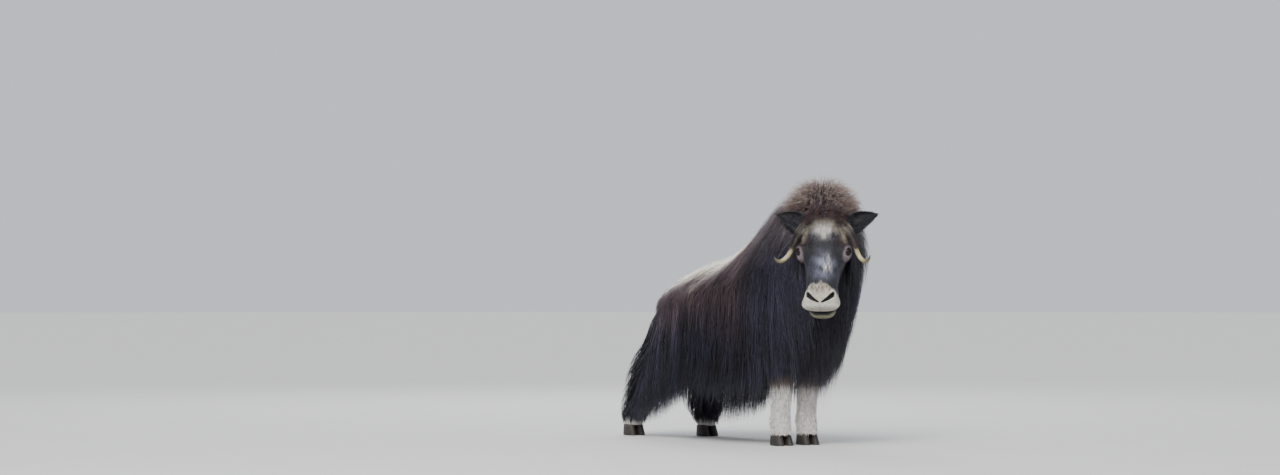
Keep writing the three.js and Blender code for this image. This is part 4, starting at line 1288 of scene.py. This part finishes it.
def hang(name, path, way, width, base=None):
    use = clear_of_head(path)
    path, way = kept(use, path, np.broadcast_to(way, (len(path), 3)))
    outs = unit(way + dice.normal(0, 0.35, way.shape))
    if base is None:
        base = by_place(path, hanging_markings, (0, 14, 26))
    else:
        base = np.broadcast_to(base, (len(path), 3))
    colours = shaded(base, path.shape[1], 0.6, 1.3)
    tufts(name, path, outs, dice.uniform(*width, len(path)), colours)


# height of the root, y, height of the tip, half the spread to both sides
BIB = [[520, -92, 215, 150], [560, -165, 245, 118], [610, -240, 312, 100], [680, -300, 425, 90],
       [760, -308, 560, 84], [840, -300, 660, 70]]


def bib(count):
    high, way = dice.uniform(520, 840, count), dice.uniform(-1, 1, count)
    way = way + 0.25 * np.sin(way * 14) / 14
    y, tip, spread = along(BIB, high).T
    x = along(COAT, y)[:, 0] * 0.5 + spread * way
    front = y - 30 - dice.uniform(0, 18, count) + 26 * way**2
    low = tip + 16 * dice.normal(0, 1, count) + 30 * np.abs(way)
    path = hung(points(x * 0.8, y + 60, high), points(x, front, high - 20), points(x * 0.62, front + 10, low))
    hang("bib", path, [0, -1, 0], (2.4, 4.8), BLACK)


def belly(count):
    x, y = dice.uniform(-200, 200, count), dice.uniform(40, 800, count)
    _, middle, wide, _, deep, _ = along(TRUNK, y).T
    root = middle - deep * np.sqrt(1 - np.minimum(np.abs(x) / wide, 0.97) ** 2) + 15
    low = along(COAT, y)[:, 4] + 50 + 26 * dice.normal(0, 1, count)
    halfway = points(x * 1.03, y + 6, (root + low) / 2)
    path = hung(points(x, y, root), halfway, points(x * 1.1, y + 26, low), 9)
    hang("belly", path, [0, -1, 0], (3.0, 6.0), BLACK * 0.9)


def rear(count):
    x, high = dice.uniform(-125, 125, count), dice.uniform(470, 650, count)
    y = 925 - (x / 16) ** 2 * 0.9
    low = high - dice.uniform(170, 290, count)
    back = 1003 - (x / 16) ** 2 * 1.1 - dice.uniform(0, 16, count)
    path = hung(points(x * 0.9, y, high), points(x * 1.08, back, high - 8), points(x * 1.2, back + 4, low))
    hang("rear", path, [0, 1, 0], (2.4, 4.8))


def tail_brush(count):
    x, high = dice.uniform(-38, 38, count), 455 + 212 * dice.uniform(0, 1, count) ** 0.6
    y = along([[455, 1010], [500, 1012], [560, 1006], [610, 985], [645, 945], [670, 925]], high)[:, 0]
    tip = np.maximum(high - dice.uniform(110, 280, count), 330)
    far = 1058 - np.abs(x) / 3 - dice.uniform(0, 14, count)
    path = hung(points(x * 0.6, y, high), points(x * 1.1, y + 56, high - 20), points(x * 1.7, far, tip), 8)
    hang("tail_brush", path, [0, 1, 0], (2.0, 4.0))


bib(3000)
belly(800)
rear(1500)
tail_brush(900)

# %% [markdown]
# ## Legs
# The right hind leg is stretched back under a curtain of hair that falls from the rump nearly to the foot,
# and a shorter curtain hangs over the left one. The hind legs have their own shorter coat. The forelegs wear
# white stockings of short, flat fur.

# %% Curtain and leg hair
# share of the way back, and then x, y and z of the tips
LAID_BACK = [[0, -222, 600, 165], [0.25, -216, 750, 120], [0.45, -208, 860, 78], [0.65, -198, 985, 58],
             [0.85, -186, 1095, 46], [1, -165, 1180, 52]]
STRAIGHT_DOWN = [[0, 215, 520, 120], [0.3, 205, 640, 84], [0.6, 180, 790, 60], [0.85, 155, 930, 66],
                 [1, 128, 1010, 90]]


CURTAIN_START, CURTAIN_END = 620, 965


def curtain(word, count, ends):
    side = SIDES[word]
    y, down = dice.uniform(CURTAIN_START, CURTAIN_END, count), dice.uniform(-0.35, 0.5, count)
    root = in_coat(y, side, down, np.full(count, 0.1))
    back_share = (y - CURTAIN_START) / (CURTAIN_END - CURTAIN_START)
    share = np.clip(back_share + dice.normal(0, 0.1, count), 0, 1)
    x, back, low = along(ends, share).T
    inside = dice.uniform(0, 55, count)
    tip = points(x - side * inside, back + 14 * dice.normal(0, 1, count),
                 low + np.abs(dice.normal(0, 22, count)))
    outer = on_coat(y, np.full(count, side), down * 0.6 - 0.05)
    shoulder = outer * [1.04, 1, 1] + (tip - outer) * [0, 0.3, 0.12]
    hang(f"curtain_{word}", hung(root, shoulder, tip, 9), [side, 0.2, 0], (2.4, 4.8))


def leg_hair(word, count, first, last, depth):
    rows = hindleg_rows(word)
    start, angle = dice.uniform(first, last, count), dice.uniform(0, 2 * np.pi, count)
    end = np.minimum(start + dice.uniform(1.2, 2.0, count), 6.9 + dice.uniform(-0.35, 0.1, count))
    t = FALL[None]
    place = start[:, None] + (end - start)[:, None] * t
    full = depth * step(7.2, 4.5, place) + 9
    away = full * (1 - (1 - t) ** 2) * dice.uniform(0.7, 1.1, (count, 1)) - 2
    angles = angle[:, None] + 0.12 * np.sin(angle[:, None] * 9) * t
    path = frizz(on_leg(rows, place, angles, away), 4, 1.2)
    way = points(np.cos(angle), np.sin(angle), 0 * angle)
    hang(f"hind_hair_{word}", path, way, (2.2, 4.4), BLACK)


curtain("right", 3400, LAID_BACK)
curtain("left", 2100, STRAIGHT_DOWN)
leg_hair("right", 1000, 0.8, 6.2, 40)
leg_hair("left", 1200, 1.0, 6.2, 52)


# %% Stockings
def stocking(word, count):
    rows = foreleg_rows(word)
    start, angle = dice.uniform(1.6, 7.9, count), dice.uniform(0, 2 * np.pi, count)
    t = np.array([0, 0.35, 0.7, 1.0])[None]
    long = np.where(start > 7.3, dice.uniform(0.3, 0.5, count), dice.uniform(0.35, 0.7, count))
    place = start[:, None] + long[:, None] * t
    path = on_leg(rows, np.minimum(place, 8), angle[:, None] + 0 * t, 7.5 * (1 - (1 - t) ** 2) - 1)
    path[..., 2] -= np.maximum(place - 8, 0) * 28
    path[..., 2] = np.maximum(path[..., 2], 24)
    path = frizz(path, 1.6, 1)
    outs = points(np.cos(angle), np.sin(angle), 0 * angle)
    colours = shaded(markings(path[:, 0]), 4, 0.8, 1.08, 0.12)
    tufts(f"stocking_{word}", path, outs, dice.uniform(1.6, 3.0, count), colours, thick=0.3)


for word in SIDES:
    stocking(word, 2000)

# %% [markdown]
# ## Face and ears
# The face has short fur that lies flat and points down towards the nose. Its finest grain is in the skin's
# finish, and small tufts lie over it, smallest on the muzzle and longer on the cheeks. Curly wool grows between
# the horns and down over their roots, and the ears are shaggy. Roots are drawn evenly over the skin itself, and
# the lids, nostrils and lips are left bare.

# %% Short fur on the skin
faces = hide.data.polygons
area = read(faces, "area")
face_middle = from_frame(read(faces, "center", 3))
face_out = read(faces, "normal", 3)


def sown(count, weight):
    """Places spread over the skin, denser where the weight is higher, with the way out there."""
    share = area * weight
    pick = dice.choice(len(area), count, p=share / share.sum())
    spot = face_middle[pick] + dice.uniform(-1, 1, (count, 3)) * np.sqrt(area[pick])[:, None] * 450
    out = unit(face_out[pick])
    return spot - out * ((spot - face_middle[pick]) * out).sum(1, keepdims=True), out


def laid(spot, out, way, length, lift):
    """Tufts of four stations that rise from the skin and lie back along it."""
    flat = unit(way - out * (way * out).sum(1, keepdims=True))
    t = np.linspace(0, 1, 4)[None, :, None]
    rise = lift * np.sin(t * 2.2) - 0.06 * (1 - t)
    return spot[:, None] + length[:, None, None] * (flat[:, None] * t * 0.95 + out[:, None] * rise)


def short_fur(name, count, weight, way, length, lift, width, wave=0.0, spread=0.18):
    spot, out = sown(count, weight)
    long = (length(spot) if callable(length) else length) * dice.uniform(0.7, 1.2, count)
    path = laid(spot, out, unit(way(spot) + dice.normal(0, 0.22, (count, 3))), long, lift)
    path = frizz(path, wave, 1.5) if wave else path
    colours = shaded(by_place(path, markings, (2, 2, 2)), 4, 0.95, 1.2, spread)
    tufts(name, path, out, dice.uniform(*width, count), colours, thick=0.3)


md, mo, ml = head_places(face_middle)
m_side = np.abs(ml)
on_skull = (md > -30) & (md < 440) & (m_side < 118) & (mo > -150) & (mo < 95)
first_corner = read(faces, "loop_start", kind=np.int32)
face_tone = hide_tones[loop_point[first_corner]].mean(1)
bare = (from_nostril(md, mo, ml) < 1.7) | ((face_tone < 0.05) & (md > 345))
mouth_line = (md > 335) & (np.abs(from_mouth(md, mo, ml)) < 3.5)
eye_skin = np.zeros(len(area), bool)
for side in SIDES.values():
    centre, look, across, along_face = eye_axes(side)
    v = face_middle - centre
    ring = np.sqrt(((v @ along_face) / 24) ** 2 + ((v @ across) / 18) ** 2)
    eye_skin |= (ring < 1) & (v @ look > -12) & (v @ look < 50)


def down_the_face(p):
    """The lie of the fur: down from the crown, fanning out over the cheeks."""
    d, o, l = head_places(p)
    fan = np.clip(l / 90, -1, 1) * step(0, 200, d) * 0.5
    return turned(np.ones(len(p)), -0.45 * step(10, -60, o), fan)


def face_length(p):
    d, o, _ = head_places(p)
    cheek = step(15, -70, o) * step(60, 160, d) * step(330, 250, d)
    return 9 + 6 * step(330, 250, d) + 18 * cheek + 6 * step(150, 60, d)


furred = on_skull & ~bare & ~mouth_line
short_fur("face_fur", 10000, furred & ~eye_skin & (md < 335), down_the_face, face_length, 0.09,
          (0.7, 1.4))
short_fur("muzzle_fur", 1500, furred & (md >= 322), down_the_face, 4.5, 0.2, (0.6, 1.1), spread=0.1)


def tousled(p):
    d, _, l = head_places(p)
    return turned(0.9 + 0 * d, 0.3, np.sin(l / 9) * 0.6 + l / 120) + dice.normal(0, 0.3, p.shape)


forehead = on_skull & (md > -28) & (md < 105) & (m_side < 62) & (mo > 15)
short_fur("forelock", 1700, forehead, tousled, 32.0, 0.45, (1.0, 2.2), 4.0)
poll = (md > -75) & (md < 58) & (m_side < 96) & (mo > -40) & (mo < 110)
short_fur("poll_wool", 1300, poll, tousled, 36.0, 0.6, (1.1, 2.4), 5.0)
temples = on_skull & (md > 0) & (md < 150) & (m_side > 45) & (mo > -60) & ~eye_skin
short_fur("temples", 1400, temples, down_the_face, 20.0, 0.3, (0.9, 2.0), 2.0)


def horn_hair(word, count):
    """The forehead's hair grows down over the root of the horn and leaves only the hook bare."""
    side = SIDES[word]
    start, angle = dice.uniform(-0.2, 2.8, count), dice.uniform(0, 2 * np.pi, count)
    t = np.linspace(0, 1, 4)[None]
    place = np.clip(start[:, None] + 0.75 * t, 0, 7)
    away = 5 * np.sin(t * 2.2) * dice.uniform(0.3, 1, (count, 1)) - 1
    round_horn = angle[:, None] + 0.2 * np.sin(angle * 7)[:, None] * t
    path = frizz(on_horn(side, place, round_horn, away), 2, 1)
    outs = unit(path - on_horn(side, place, angle[:, None] + np.pi, 0))
    base = mixed(np.tile(TAN * 0.7, (count, 1)), DOME_BROWN * 0.3, step(0.5, 1.5, start))
    tufts(f"horn_hair_{word}", path, outs, dice.uniform(1.0, 2.2, count),
          shaded(base, 4, 0.7, 1.2, 0.25), thick=0.3)


for word in SIDES:
    horn_hair(word, 800)


# %% Ears
on_ears = (m_side > 92) & (m_side < 235) & (md > -85) & (md < 60) & (mo > -70) & (mo < 60)


def to_ear_tip(p):
    _, _, l = head_places(p)
    return turned(np.full(len(p), -0.3), 0.0, np.sign(l))


short_fur("ear_fur", 2000, on_ears, to_ear_tip, 15.0, 0.2, (0.9, 1.8), 1.0)


def ear_fringe(word, count):
    """Long dark hair that hangs from an ear's lower edge, longest by the head."""
    side = SIDES[word]
    t = dice.uniform(0.0, 0.85, count)
    root = on_ear(side, t, side * EAR_WRAP * dice.uniform(0.5, 1, count), -2)
    long = (12 + 74 * step(0.85, 0.05, t)) * dice.uniform(0.6, 1.1, count)
    s = np.linspace(0, 1, 5)[None, :, None]
    inward = -0.25 * side * FACE_LEFT
    fall = s * (inward + [0, 0, -0.9]) + 0.16 * OUT_OF_FACE * np.sin(s * 2)
    path = frizz(root[:, None] + long[:, None, None] * fall, 4, 1)
    outs = unit(OUT_OF_FACE + dice.normal(0, 0.4, (count, 3)))
    tufts(f"ear_fringe_{word}", path, outs, dice.uniform(1.0, 2.4, count),
          shaded(np.tile(EAR_BLACK, (count, 1)), 5, 0.8, 1.4, 0.25), thick=0.3)


for word in SIDES:
    ear_fringe(word, 420)

# %% [markdown]
# ## Floor and light
# A plain pale floor and soft lights, as in a studio, show the coat's own colours. A wide daylight and a
# soft key light stand high behind the camera, a little to its left, and a third light rims the animal from
# behind.

# %% Floor and light
floor_material, tree, shader = finish("pale floor")
tone = toned(tree, noise_of(tree, 3.0, 6), [(0.3, (0.60, 0.60, 0.59)), (0.7, (0.63, 0.63, 0.62))])
tree.links.new(tone, shader.inputs["Base Color"])
set_inputs(shader, Roughness=0.9)
FLOOR_RADIUS, FLOOR_CORNERS = 60000, 64
corner = round_steps(FLOOR_CORNERS)
disc = points(FLOOR_RADIUS * np.cos(corner), FLOOR_RADIUS * np.sin(corner), -0.5)
fan = np.array([[0, k, k + 1] for k in range(1, FLOOR_CORNERS - 1)])
floor = new_object("floor", (disc, np.zeros((0, 4), int), fan))
floor.data.materials.append(floor_material)

world = bpy.data.worlds.new("studio")
world.use_nodes = True
set_inputs(world.node_tree.nodes["Background"], Color=(0.9, 0.93, 1.0, 1), Strength=0.8)
bpy.context.scene.world = world


def light(name, kind, watts, colour):
    data = bpy.data.lights.new(name, kind)
    data.energy, data.color = watts, colour
    holder = bpy.data.objects.new(name, data)
    bpy.context.scene.collection.objects.link(holder)
    holder.rotation_mode = "QUATERNION"
    return data, holder


def soft_light(name, place, size, watts, colour):
    """A square light that faces the middle of the chest."""
    data, holder = light(name, "AREA", watts, colour)
    data.size = size
    holder.location = place
    holder.rotation_quaternion = (Vector((0, 0, CHEST_HEIGHT)) - Vector(place)).to_track_quat("-Z", "Y")


WARM, COOL = (1.0, 0.98, 0.95), (0.95, 0.97, 1.0)
daylight, holder = light("daylight", "SUN", 2.7, WARM)
daylight.angle = math.radians(30)
holder.rotation_quaternion = Vector((-3.8, -3.4, 5.2)).to_track_quat("Z", "Y")
soft_light("key", (-4.6, -4.4, 4.4), 1.6, 220, WARM)
soft_light("rim", (2.0, 5.0, 4.5), 2.5, 160, COOL)
print("floor and lights set")

# %% Size of what is seen
total = sum(count for _, count in coat_pieces)
print("coat", total, "triangles in", len(coat_pieces), "pieces")
